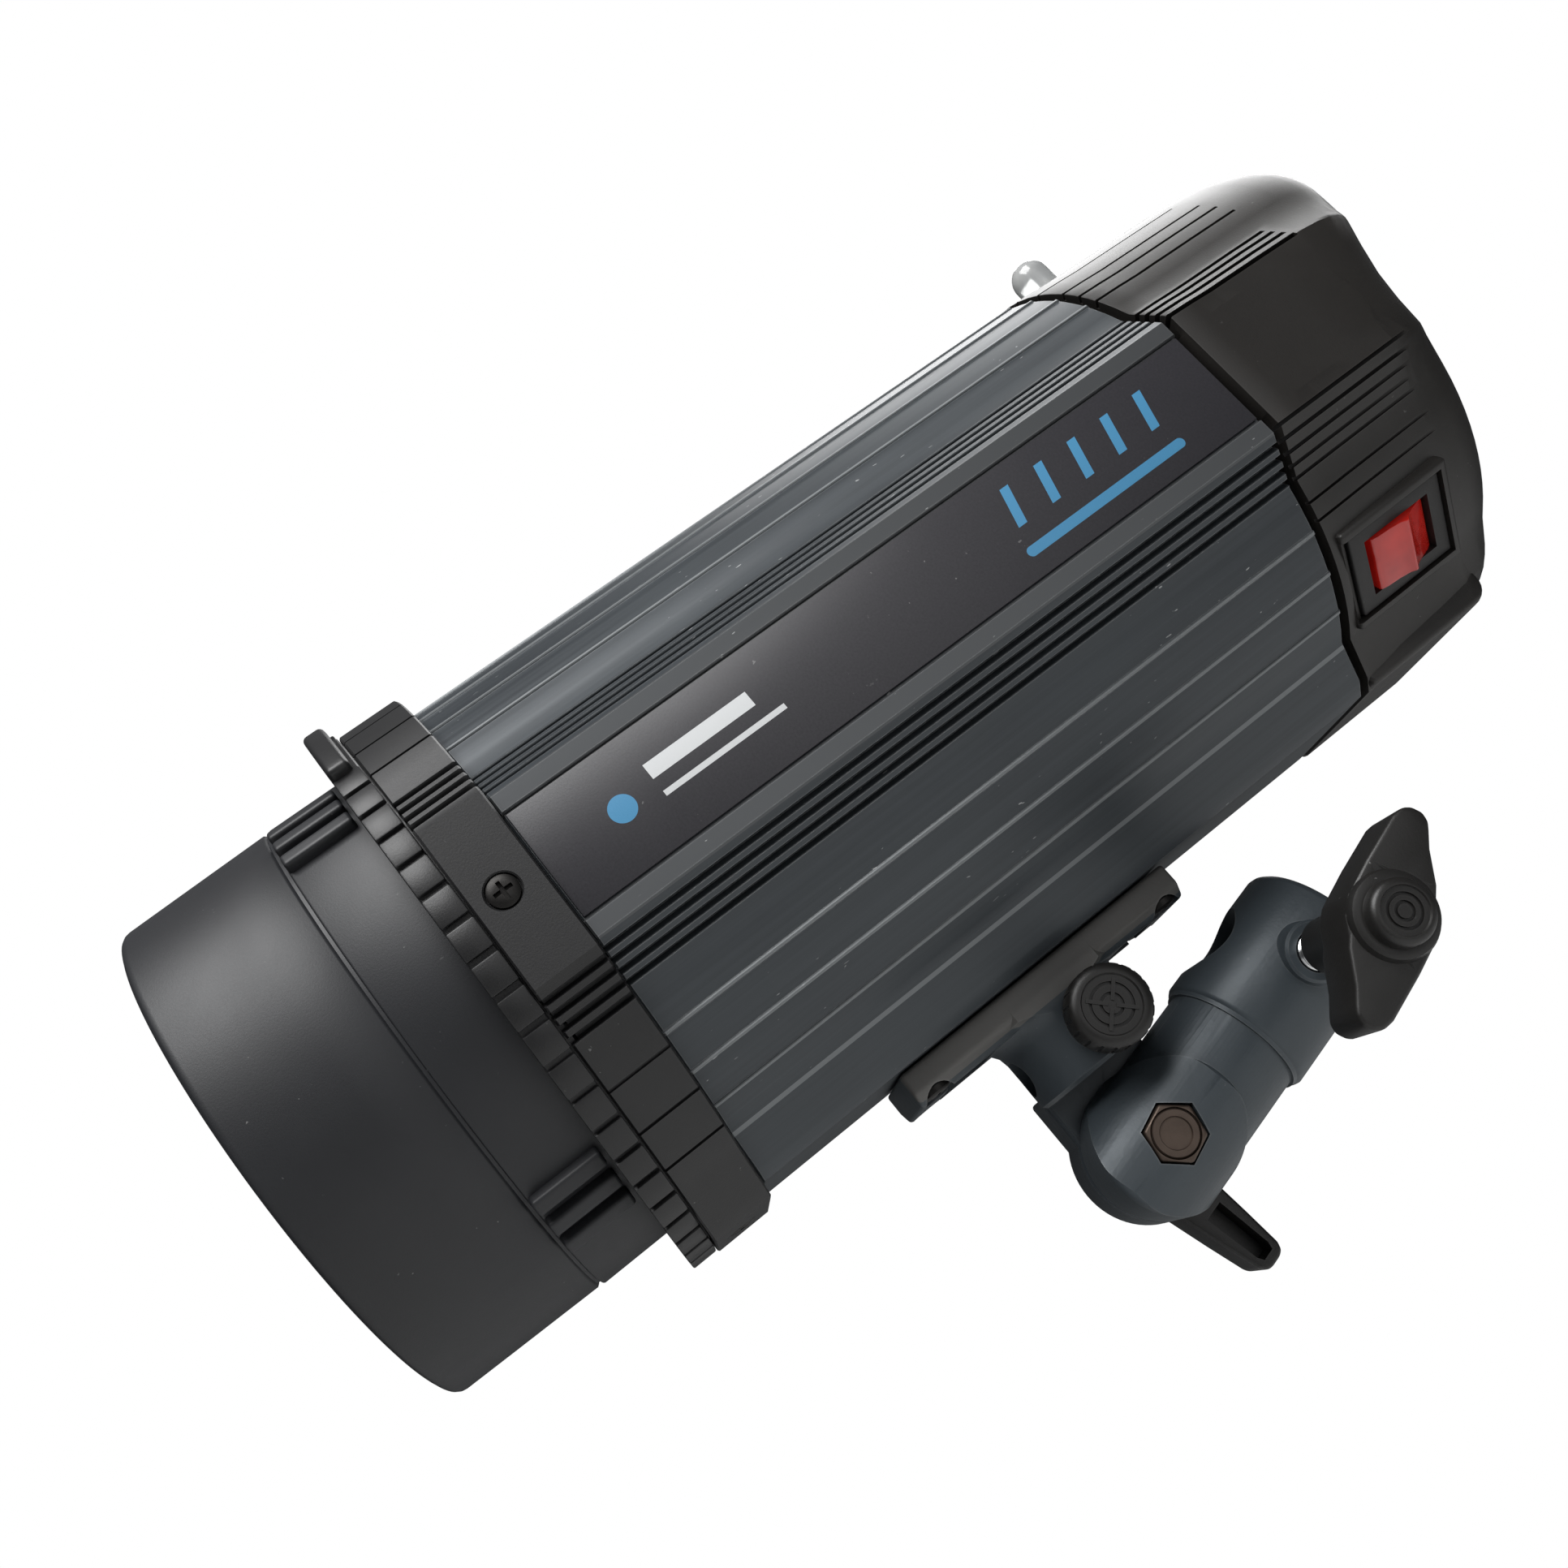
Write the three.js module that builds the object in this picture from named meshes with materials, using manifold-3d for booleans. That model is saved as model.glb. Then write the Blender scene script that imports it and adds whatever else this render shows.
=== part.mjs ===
// A compact studio flash head (monolight) on a tilting stand bracket, with its protective front cap on.
// Millimetres. The light is laid out about its own optical axis: it shines along -Y, +Z is up, and
// y = 0 is the front face of the cap. The whole is then moved so that the origin is the centre of the
// stand socket's mouth, which is where a light stand holds the part.
import * as THREE from 'three';
import { mergeVertices } from 'three/addons/utils/BufferGeometryUtils.js';
import Module from 'manifold-3d';

const wasm = await Module();
wasm.setup();

// ---------------------------------------------------------------- driving dimensions

const gap = 0.3;                 // clearance between two pieces that touch

// the case, front to back
const caseRadius = 57;           // round of the aluminium tube
const caseWall = 3;
const caseFront = 66.7;          // where the tube starts, and how long it is
const caseLength = 155.3;
const padRise = 3.6;             // flat side pads that carry the labels stand this far off the round
const padHalf = 16.2;
const flankHalf = 23.6;          // ribbed flank between a pad and the round
const labelHalf = 11.2;
const labelDepth = 0.9;          // how deep the labels' seat is cut
const labelThickness = 0.5;
const baseRise = 3;              // flat underside that the bracket is screwed to
const baseHalf = 18.5;
const ribCount = 4;
const ribDepth = 1.1;

// front ring and the lock ring in front of it
const frontRingStep = 4.8;       // the front ring stands this far off the tube
const frontRingLength = 13;
const frontRingPadStep = 2;
const frontRingPadHalf = 17.6;
const frontRingBaseStep = 2.9;
const noseWall = 3.4;            // round the seat that takes the lamp plate
const lampSeatDepth = 5.8;
const spigotWall = 2.6;          // the spigots that enter the tube
const spigotLength = 8;
const noseStep = 1.2;            // the nose that the lock ring turns on, off the tube's round
const noseFlange = 1.8;
const noseLength = 2;
const lockRingStep = 5;
const lockRingWidth = 5.5;
const lockLipStep = 2;           // the lip that holds the cap's lugs reaches this far in
const toothCount = 57;
const toothGap = 1.3;
const toothDepth = 0.9;
const thumbTabHeight = 2.3;
const thumbTabAngle = 54;
const thumbTabSpan = 34;
const slotSpan = 40;             // slots in the lock ring's lip that let the cap's lugs pass
const lugSpan = 31;
const lugCount = 3;

// protective cap
const capPlay = 1.5;             // between the cap's skirt and the lip
const capTaper = 0.8;            // the cap is this much slimmer at its front face
const capWall = 1.8;
const capSkirtStart = 32.6;      // where the grip section starts
const capSkirtLength = 14.2;     // it ends short of the lock ring
const capGripRise = 2.3;
const capGripTwist = -5.4;
const capGripSpread = 47.5;
const capRibCount = 3;
const capRibPitch = 6.1;
const capRibSpan = 3.6;
const capEdge = 1.4;

// lamps
const flashRingRadius = 31;
const flashTubeRadius = 3.7;
const flashRingY = 41;
const flashLegAngle = 22;
const flashSocketRadius = 6.5;
const bulbRadius = 22.5;
const bulbFront = 10;
const bulbLength = 42;
const lampBaseRadius = 13;
const lampBaseLength = 22;
const lampSocketWall = 3.6;
const lampPlateThickness = 1.5;

// electronics
const chassisShare = 0.574;      // the chassis lies this share of the bore's radius below the axis
const chassisThickness = 1.6;
const chassisFront = 21.3;       // clear of the tube's two ends
const chassisRear = 11;
const boardStandoff = 5;
const boardThickness = 1.6;
const boardEdge = 4.2;           // the board's edge to the bore
const boardMargin = 10;
const boardTail = 5;
const capacitorShare = 0.4375;   // of the board's half width
const capacitorLength = 62;
const coreWidth = 38;
const coreHeight = 30;
const coreDepth = 14;
const heatSinkWidth = 15;
const heatSinkHeight = 26;
const heatSinkLength = 30;
const finCount = 4;
const fanSize = 40;
const fanDepth = 10;
const fanEdge = 7;               // fan's upper edge to the panel's edge
const fanBladeCount = 7;

// rear housing and control panel
const seamGap = 1.6;             // the dark joint between the tube and the rear housing
const rearGrow = 0.5;            // how far the housing stands proud of the tube
const rimReach = 45.4;           // the rear rim, from the housing's start, level below the axis
const rimRise = 13.9;            // and running further back over the top, as a hood
const rimRiseStart = -8;
const rimRiseSpan = 50;
const footHalf = 22;             // flat foot under the housing, in line with the flat underside
const footLength = 34.9;
const footHeight = 8;
const rimStep = 5;               // the rim draws in by this much
const rearWall = 3;
const panelReach = 31.4;         // housing's start to the panel's outer face
const panelThickness = 2.5;
const panelStep = 7.5;           // case's round to the panel's edge
const ledgeWidth = 1.7;
const panelScrewEdge = 5;        // screws to the panel's edge
const panelScrewAngle = 24;
const dialRadius = 9.5;
const dialHeight = 11;
const dialOffset = 22;
const dialLevel = -4;
const testButtonRadius = 4.2;
const testButtonLevel = -5;
const testButtonTravel = 1.2;
const readyLampRadius = 2.6;
const readyLampLevel = -14.5;
const jackRadius = 5;
const fuseRadius = 6.2;
const lowControlLevel = -25;
const inletHalfWidth = 13.5;
const inletHalfHeight = 9.6;
const inletLevel = -30.5;        // below the optical axis
const inletDepth = 18;
const slideSwitchX = 37.5;

// power switch on the housing's side
const switchAngle = -49;
const switchReach = 16.4;        // housing's start to the switch's middle
const switchFrameLength = 25;
const switchFrameWidth = 18.6;
const rockerLength = 17;
const rockerWidth = 12;
const switchSink = 1.4;          // the switch frame's seat lies this far inside the round
const switchBodyDepth = 13;

// slave sensor dome
const domeRadius = 4.8;
const domeRise = 8.6;            // centre of its round top, off the case's round
const domeReach = 23.9;

// bracket under the case
const railHalf = 14;
const railLength = 68;
const railDepth = 7.5;
const railChamfer = 2.6;
const railScrewSpacingX = 20;
const railScrewSpacingY = 59;
const railScrewRadius = 1.9;
const railScrewHeadRadius = 3.3;
const pivotBack = 66.3;          // tube's front end to the tilt pivot
const pivotFall = 40.7;          // flat underside to the tilt pivot
const blockRadius = 14;
const blockShift = 1;
const blockFall = 22.5;
const neckHalf = 12.2;
const knuckleRadius = 15;
const knucklePlane = -0.4;       // face of the receiver's half of the knuckle
const washerThickness = 1.4;
const knuckleFar = -13.5;
const umbrellaHoleRadius = 4.2;
const umbrellaFall = 15.3;
const umbrellaKnobRadius = 8.2;
const umbrellaKnobLength = 7;
const umbrellaKnobShift = 4.4;
const umbrellaScrewRadius = 2.4;
const umbrellaKnobTravel = 1.6;

// stand receiver
const foldAngle = 12.3;          // how far the receiver's axis points up from +Y when folded
const armRadius = 13.7;
const armStep = 16.5;
const collarStart = 25.5;
const collarRadius = 15.2;
const socketReach = 57.3;        // pivot to the socket's mouth
const socketRadius = 8.2;        // takes a 5/8 inch (16 mm) stand spigot
const socketDepth = 33.3;
const collarChamfer = 1.4;
const crossHoleReach = 39.7;
const hexAcross = 10.6;
const hexPocketDepth = 5.2;
const boltRadius = 3;
const boltEnd = -26;
const lockReach = 45.3;
const lockTwist = 4;
const lockBossRadius = 6.3;
const lockBossFace = 17.4;
const lockScrewRadius = 4;
const lockScrewTip = 8.7;
const lockHandleBack = 22;
const lockShankRadius = 5.6;
const wingBack = 38;
const wingFront = 50;
const wingReach = 20.5;
const wingHub = 8.6;
const wingTurn = 15.8;
const handleDiscRadius = 5.8;
const handleDiscFace = 54.5;

// tilt lever
const leverHubRadius = 11.5;
const leverReach = 34.5;
const leverThickness = 11;
const leverTurn = 12.5;
const leverTipHalf = 3.2;
const leverRootHalf = 6.2;
const leverBack = -27.6;

// sizes that follow from the ones above
const padFace = caseRadius + padRise;
const baseDrop = caseRadius + baseRise;
const caseBore = caseRadius - caseWall;
const caseEnd = caseFront + caseLength;
const frontRingRadius = caseRadius + frontRingStep;
const frontRingPad = padFace + frontRingPadStep;
const frontRingBase = baseDrop + frontRingBaseStep;
const noseRadius = caseRadius + noseStep;
const lampSeatRadius = noseRadius - noseWall;
const lockRingRadius = noseRadius + lockRingStep;
const lockLipRadius = noseRadius - lockLipStep;
const capSkirtRadius = lockLipRadius - capPlay;
const capRadius = capSkirtRadius - capTaper;
const capGripRadius = capSkirtRadius + capGripRise;
const chassisHeight = -caseBore * chassisShare;
const chassisStart = caseFront + chassisFront;
const chassisEnd = caseEnd - chassisRear;
const boardHalf = Math.sqrt(caseBore ** 2 - chassisHeight ** 2) - boardEdge;
const boardStart = chassisStart + boardMargin;
const boardEnd = chassisEnd - boardTail;
const capacitorRadius = boardHalf * capacitorShare;
const rearStart = caseEnd + seamGap;
const rimLevel = rearStart + rimReach;
const rimRadius = caseRadius - rimStep;
const panelY = rearStart + panelReach;
const panelRadius = caseRadius - panelStep;
const panelScrewRadius = panelRadius - panelScrewEdge;
const fanHeight = panelRadius - fanEdge - fanSize / 2;
const switchY = rearStart + switchReach;
const switchSeat = caseRadius - switchSink;
const domeCentre = caseRadius + domeRise;
const domeY = rearStart + domeReach;
const pivotY = caseFront + pivotBack;
const pivotDrop = baseDrop + pivotFall;
const blockDrop = baseDrop + blockFall;
const umbrellaDrop = baseDrop + umbrellaFall;

// ---------------------------------------------------------------- shaping helpers

const degrees = Math.PI / 180;
const fine = 40;                 // sides of the large rounds
const medium = 20;
const coarse = 12;
const unitX = new THREE.Vector3(1, 0, 0);
const unitY = new THREE.Vector3(0, 1, 0);
const unitZ = new THREE.Vector3(0, 0, 1);

// A closed geometry as a solid that can be joined and cut.
function solid(geometry) {
  const bare = geometry.clone();
  bare.deleteAttribute('normal');
  bare.deleteAttribute('uv');
  const merged = mergeVertices(bare, 1e-4);
  return new wasm.Manifold(new wasm.Mesh({
    numProp: 3,
    vertProperties: new Float32Array(merged.attributes.position.array),
    triVerts: new Uint32Array(merged.index.array),
  }));
}

// A finished solid as a geometry for a mesh.
function geometryOf(shape) {
  const mesh = shape.getMesh();
  const geometry = new THREE.BufferGeometry();
  geometry.setAttribute('position', new THREE.BufferAttribute(new Float32Array(mesh.vertProperties), 3));
  geometry.setIndex(new THREE.BufferAttribute(new Uint32Array(mesh.triVerts), 1));
  return geometry;
}

function block(x0, x1, y0, y1, z0, z1) {
  const box = new THREE.BoxGeometry(x1 - x0, y1 - y0, z1 - z0);
  box.translate((x0 + x1) / 2, (y0 + y1) / 2, (z0 + z1) / 2);
  return solid(box);
}

// A round bar from one end to the other along Y, X or Z, about the line through (u, v).
function barY(radius, y0, y1, x = 0, z = 0, sides = coarse) {
  const bar = new THREE.CylinderGeometry(radius, radius, y1 - y0, sides);
  bar.translate(x, (y0 + y1) / 2, z);
  return solid(bar);
}

function barX(radius, x0, x1, y = 0, z = 0, sides = coarse) {
  const bar = new THREE.CylinderGeometry(radius, radius, x1 - x0, sides);
  bar.rotateZ(-Math.PI / 2);
  bar.translate((x0 + x1) / 2, y, z);
  return solid(bar);
}

function barZ(radius, z0, z1, x = 0, y = 0, sides = coarse, topRadius = radius) {
  const bar = new THREE.CylinderGeometry(topRadius, radius, z1 - z0, sides);
  bar.rotateX(Math.PI / 2);
  bar.translate(x, y, (z0 + z1) / 2);
  return solid(bar);
}

// A profile of [radius, y] points turned about the optical axis.
function turned(profile, sides = fine) {
  const points = profile.map(([radius, y]) => new THREE.Vector2(radius, y));
  const first = points[0];
  const last = points[points.length - 1];
  if (first.x > 0 || last.x > 0) points.push(first.clone());
  const shape = solid(new THREE.LatheGeometry(points, sides));
  return shape;
}

function pipe(outer, inner, y0, y1, sides = fine) {
  return turned([[outer, y0], [outer, y1], [inner, y1], [inner, y0]], sides);
}

function shapeOf(points, holes = []) {
  const shape = new THREE.Shape(points.map(([u, v]) => new THREE.Vector2(u, v)));
  for (const hole of holes) {
    shape.holes.push(new THREE.Path(hole.map(([u, v]) => new THREE.Vector2(u, v))));
  }
  return shape;
}

// An outline of [x, z] points drawn out along Y.
function alongY(points, y0, y1, holes = []) {
  const body = new THREE.ExtrudeGeometry(shapeOf(points, holes), { depth: y1 - y0, bevelEnabled: false });
  body.rotateX(Math.PI / 2);
  body.translate(0, y1, 0);
  return solid(body);
}

// An outline of [y, z] points drawn out along X.
function alongX(points, x0, x1) {
  const body = new THREE.ExtrudeGeometry(shapeOf(points), { depth: x1 - x0, bevelEnabled: false });
  body.applyMatrix4(new THREE.Matrix4().makeBasis(unitY, unitZ, unitX));
  body.translate(x0, 0, 0);
  return solid(body);
}

// An outline of [x, y] points drawn out along Z.
function alongZ(points, z0, z1, holes = []) {
  const body = new THREE.ExtrudeGeometry(shapeOf(points, holes), { depth: z1 - z0, bevelEnabled: false });
  body.translate(0, 0, z0);
  return solid(body);
}

function circle(radius, sides, u = 0, v = 0) {
  const points = [];
  for (let i = 0; i < sides; i += 1) {
    const angle = (i / sides) * 2 * Math.PI;
    points.push([u + radius * Math.cos(angle), v + radius * Math.sin(angle)]);
  }
  return points;
}

function onCircle(radius, angle) {
  return [radius * Math.cos(angle * degrees), radius * Math.sin(angle * degrees)];
}

// A wedge of a ring between two angles, drawn out along Y.
function ringPiece(outer, inner, from, to, y0, y1, steps = 6) {
  const points = [];
  for (let i = 0; i <= steps; i += 1) points.push(onCircle(outer, from + ((to - from) * i) / steps));
  for (let i = steps; i >= 0; i -= 1) points.push(onCircle(inner, from + ((to - from) * i) / steps));
  return alongY(points, y0, y1);
}

// The four corners of a rectangle about a centre.
function rectangle(halfU, halfV, u = 0, v = 0) {
  return [[u - halfU, v - halfV], [u + halfU, v - halfV], [u + halfU, v + halfV], [u - halfU, v + halfV]];
}

// Turns a solid, then moves it.
function placed(shape, turnX = 0, turnY = 0, move = [0, 0, 0]) {
  return shape.rotate([turnX, 0, 0]).rotate([0, turnY, 0]).translate(move);
}

// ---------------------------------------------------------------- the case's section

// One ribbed flank from the pad's edge to the round: [x, z] points with square grooves.
function ribbedFlank(start, end, depth) {
  const run = [end[0] - start[0], end[1] - start[1]];
  const length = Math.hypot(run[0], run[1]);
  const inward = [-run[1] / length, run[0] / length];
  const side = inward[0] > 0 ? -1 : 1;
  const points = [start];
  for (let i = 0; i < ribCount; i += 1) {
    const from = (i + 0.3) / ribCount;
    const to = (i + 0.75) / ribCount;
    for (const [share, sunk] of [[from, 0], [from, depth], [to, depth], [to, 0]]) {
      points.push([
        start[0] + run[0] * share + inward[0] * side * sunk,
        start[1] + run[1] * share + inward[1] * side * sunk,
      ]);
    }
  }
  points.push(end);
  return points;
}

// The outer outline of the case, counter-clockwise from the underside.
function caseOutline({ round, pad, padEdge, flankEdge, base, baseEdge, ribs, seat = 0, seatHalf = 0,
  padPoints = [], basePoints = [] }) {
  const flankX = Math.sqrt(round * round - flankEdge * flankEdge);
  const flankAngle = Math.asin(flankEdge / round) / degrees;
  const upper = ribs ? ribbedFlank([pad - 1, padEdge], [flankX, flankEdge], ribDepth)
    : [[pad - 1, padEdge], [flankX, flankEdge]];
  const lower = upper.map(([x, z]) => [x, -z]).reverse();
  const lip = seat > 0
    ? [[pad, -padEdge + 1], [pad, -seatHalf], [pad - seat, -seatHalf], [pad - seat, seatHalf], [pad, seatHalf],
      [pad, padEdge - 1]]
    : [[pad, -padEdge + 1], ...padPoints.map((share) => [pad, padEdge * share]), [pad, padEdge - 1]];
  const right = [...basePoints.map((share) => [baseEdge * share, -base]), [baseEdge, -base],
    [baseEdge + 3.5, -base + 2.2]];
  const baseAngle = -61.5;
  const lowSteps = 5;
  for (let i = 0; i < lowSteps; i += 1) {
    right.push(onCircle(round, baseAngle + ((-flankAngle - baseAngle) * i) / lowSteps));
  }
  right.push(...lower, ...lip, ...upper);
  const highSteps = 8;
  for (let i = 1; i <= highSteps; i += 1) {
    right.push(onCircle(round, flankAngle + ((90 - flankAngle) * i) / highSteps));
  }
  const left = right.slice(0, -1).filter(([x]) => x > 0).map(([x, z]) => [-x, z]).reverse();
  return [...right, ...left];
}

const frontRingStart = caseFront - gap - frontRingLength;
const noseFront = frontRingStart - noseLength;
const seatHalf = labelHalf + gap;
const flankEdgeHalf = flankHalf;

const tubeOutline = caseOutline({
  round: caseRadius, pad: padFace, padEdge: padHalf, flankEdge: flankEdgeHalf,
  base: baseDrop, baseEdge: baseHalf, ribs: true, seat: labelDepth, seatHalf,
});

// ---------------------------------------------------------------- the assembly

const light = new THREE.Group();

const finishes = {
  tubePaint: [0x3d454c, 0.5, 0.35], label: [0x3b3a40, 0.45, 0], blackPlastic: [0x1d1d1f, 0.5, 0],
  capPlastic: [0x232529, 0.6, 0], rearPlastic: [0x242220, 0.45, 0], castPaint: [0x3f484e, 0.45, 0.3],
  railPaint: [0x6c6a68, 0.5, 0.3], knobPlastic: [0x201e1d, 0.45, 0], steel: [0x9a9a9a, 0.35, 0.9],
  chrome: [0xd8d8d8, 0.12, 1], blackSteel: [0x262626, 0.4, 0.6], brownSteel: [0x4a413d, 0.45, 0.6],
  glass: [0xe8eef0, 0.05, 0], frosted: [0xf4f4f0, 0.5, 0], whitePlate: [0xe6e6e2, 0.4, 0.1],
  ceramic: [0xeeeae0, 0.35, 0], nickel: [0xb9b4a6, 0.3, 0.9], aluminium: [0xa8abad, 0.4, 0.8],
  board: [0x1f5b33, 0.5, 0], foil: [0x26315e, 0.4, 0.1], ferrite: [0x2e2e30, 0.6, 0.1],
  winding: [0xb06a2c, 0.4, 0.4], redLens: [0xd2231c, 0.25, 0], greenLens: [0x37c25a, 0.25, 0],
  dome: [0xe9ecee, 0.25, 0], nylon: [0xd9d4c6, 0.5, 0], whiteMark: [0xdcdcdc, 0.45, 0],
};

function add(name, shape, finish, parent = light) {
  const [color, roughness, metalness] = finishes[finish];
  const material = new THREE.MeshStandardMaterial({ color, roughness, metalness });
  const mesh = new THREE.Mesh(geometryOf(shape), material);
  mesh.name = name;
  parent.add(mesh);
  return mesh;
}

// ---------------------------------------------------------------- case and labels

const railCentreY = pivotY;
const railScrews = [];
for (const [side, x] of [['left', railScrewSpacingX / 2], ['right', -railScrewSpacingX / 2]]) {
  for (const [end, y] of [['front', -railScrewSpacingY / 2], ['rear', railScrewSpacingY / 2]]) {
    railScrews.push([`bracket_screw_${end}_${side}`, x, railCentreY + y]);
  }
}
const railTop = -baseDrop - gap;
const railBottom = railTop - railDepth;
const railScrewTop = -baseDrop + 3.6;
const railScrewClear = railScrewRadius + gap;

function bodyTube() {
  let tube = alongY(tubeOutline, caseFront, caseEnd, [circle(caseBore, fine)]);
  for (const [, x, y] of railScrews) {
    tube = tube.subtract(barZ(railScrewClear, -baseDrop - 1, railScrewTop + gap, x, y, 10));
  }
  return tube;
}

function label(side) {
  const outer = padFace - labelDepth + gap + labelThickness;
  const inner = padFace - labelDepth + gap;
  const x0 = side > 0 ? inner : -outer;
  const x1 = side > 0 ? outer : -inner;
  return block(x0, x1, caseFront + gap, caseEnd - gap, -labelHalf, labelHalf);
}

add('body_tube', bodyTube(), 'tubePaint');
add('label_plate_left', label(1), 'label');
add('label_plate_right', label(-1), 'label');

// ---------------------------------------------------------------- front ring, screws, lamp plate

const spigotRadius = caseBore - 0.4;
const spigotBore = spigotRadius - spigotWall;
const frontRingEnd = frontRingStart + frontRingLength;
const lampSeatEnd = noseFront + lampSeatDepth;
const ringScrewY = frontRingStart + 5.9;
const ringScrewRadius = 1.6;
const ringScrewHead = 2.9;
const ringScrewHeadDepth = 1.5;
const lockLipDepth = lockRingWidth + 1.5;
const lockInner = noseRadius + gap;
const lockPocket = noseRadius + noseFlange + gap;
const lockSkirt = lockPocket + gap;

function screwPlaces() {
  return [
    ['front_ring_screw_left', 0, frontRingPad], ['front_ring_screw_top', 90, frontRingRadius],
    ['front_ring_screw_right', 180, frontRingPad], ['front_ring_screw_bottom', -90, frontRingBase],
  ];
}

// A bar that points outwards from the axis at an angle, between two distances.
function radialBar(radius, from, to, angle, y, sides = 12) {
  return placed(barX(radius, from, to, 0, 0, sides), 0, -angle, [0, y, 0]);
}

function frontRing() {
  const outline = caseOutline({
    round: frontRingRadius, pad: frontRingPad, padEdge: frontRingPadHalf, flankEdge: frontRingPadHalf + 9,
    base: frontRingBase, baseEdge: baseHalf, ribs: true,
  });
  let ring = alongY(outline, frontRingStart, frontRingEnd);
  const skirtRoom = barY(lockSkirt + gap, frontRingStart - 1, frontRingStart + 1.5, 0, 0, fine);
  ring = ring.subtract(skirtRoom);
  ring = ring.add(barY(noseRadius, noseFront, frontRingStart + 3, 0, 0, fine));
  ring = ring.add(barY(noseRadius + noseFlange, noseFront, noseFront + 1, 0, 0, fine));
  ring = ring.add(barY(spigotRadius, frontRingEnd - 2, frontRingEnd + spigotLength, 0, 0, fine));
  ring = ring.subtract(barY(lampSeatRadius, noseFront - 1, lampSeatEnd, 0, 0, fine));
  ring = ring.subtract(barY(spigotBore, noseFront - 1, frontRingEnd + spigotLength + 1, 0, 0, fine));
  for (const [, angle, face] of screwPlaces()) {
    ring = ring.subtract(radialBar(ringScrewRadius + gap, spigotBore - 2, face + 2, angle, ringScrewY));
    ring = ring.subtract(radialBar(ringScrewHead + gap, face - ringScrewHeadDepth, face + 2, angle, ringScrewY));
  }
  return ring;
}

function ringScrew(angle, face) {
  const head = radialBar(ringScrewHead, face - ringScrewHeadDepth + gap, face + 0.5, angle, ringScrewY);
  const shank = radialBar(ringScrewRadius, spigotBore + 1, face - 0.5, angle, ringScrewY, 10);
  return head.add(shank);
}

add('front_ring', frontRing(), 'blackPlastic');
for (const [name, angle, face] of screwPlaces()) add(name, ringScrew(angle, face), 'blackSteel');

const lampPlateEnd = lampSeatEnd - gap;
const lampPlateStart = lampPlateEnd - lampPlateThickness;
const lampSocketRadius = lampBaseRadius + gap + lampSocketWall;
const lampBaseStart = bulbFront + bulbLength + gap;
const lampBaseEnd = lampBaseStart + lampBaseLength;
const flashLegs = [-90 - flashLegAngle, -90 + flashLegAngle].map((angle) => onCircle(flashRingRadius, angle));
const flashLegEnd = lampPlateEnd + 3;

function lampPlate() {
  let plate = barY(lampSeatRadius - gap, lampPlateStart, lampPlateEnd, 0, 0, fine);
  plate = plate.subtract(barY(lampSocketRadius + gap, 0, 100, 0, 0, medium));
  for (const [x, z] of flashLegs) plate = plate.subtract(barY(flashSocketRadius + gap, 0, 100, x, z));
  return plate;
}

function lampSocket() {
  const front = lampPlateStart - 5;
  const shell = barY(lampSocketRadius, front, lampBaseEnd + 5, 0, 0, medium)
    .add(barY(lampSocketRadius + 4, lampPlateEnd + gap, lampPlateEnd + 4, 0, 0, medium));
  return shell.subtract(barY(lampBaseRadius + gap, front - 1, lampBaseEnd + gap, 0, 0, medium));
}

function lampBase() {
  const cap = barY(lampBaseRadius, lampBaseStart, lampBaseEnd - 3, 0, 0, medium);
  const tip = barY(lampBaseRadius * 0.6, lampBaseEnd - 4, lampBaseEnd, 0, 0, coarse);
  return cap.add(tip);
}

function bulb() {
  const end = bulbFront + bulbLength;
  const neck = lampBaseRadius - 1;
  const centre = bulbFront + bulbRadius;
  const profile = [[0, bulbFront]];
  const steps = 8;
  const lastAngle = 130;
  for (let i = 1; i <= steps; i += 1) {
    const angle = (i / steps) * lastAngle * degrees;
    profile.push([bulbRadius * Math.sin(angle), centre - bulbRadius * Math.cos(angle)]);
  }
  profile.push([neck, end - 2], [neck, end], [0, end]);
  return turned(profile, medium);
}

function flashSocket([x, z]) {
  const front = lampPlateStart - 2;
  const end = flashLegEnd + 8;
  return barY(flashSocketRadius, front, end, x, z)
    .subtract(barY(flashTubeRadius + gap + 0.1, front - 1, flashLegEnd + gap, x, z));
}

// The ring-shaped flash tube with two straight legs that plug into its sockets.
function flashTube() {
  const bend = 6;
  const points = [];
  const ringSteps = 30;
  const legSteps = 3;
  const legPoint = (x, z, y) => new THREE.Vector3(x, y, z);
  const [right, left] = [flashLegs[1], flashLegs[0]];
  const openShare = flashLegAngle + bend * 1.2;
  for (let i = 0; i < legSteps; i += 1) {
    points.push(legPoint(right[0], right[1], flashLegEnd + ((flashRingY + bend - flashLegEnd) * i) / (legSteps - 1)));
  }
  for (let i = 0; i <= ringSteps; i += 1) {
    const angle = -90 + openShare + ((360 - 2 * openShare) * i) / ringSteps;
    const [x, z] = onCircle(flashRingRadius, angle);
    points.push(legPoint(x, z, flashRingY));
  }
  for (let i = legSteps - 1; i >= 0; i -= 1) {
    points.push(legPoint(left[0], left[1], flashLegEnd + ((flashRingY + bend - flashLegEnd) * i) / (legSteps - 1)));
  }
  const path = new THREE.CatmullRomCurve3(points, false, 'centripetal');
  const section = new THREE.Shape(circle(flashTubeRadius, 8).map(([u, v]) => new THREE.Vector2(u, v)));
  return solid(new THREE.ExtrudeGeometry(section, { steps: 46, bevelEnabled: false, extrudePath: path }));
}

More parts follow.
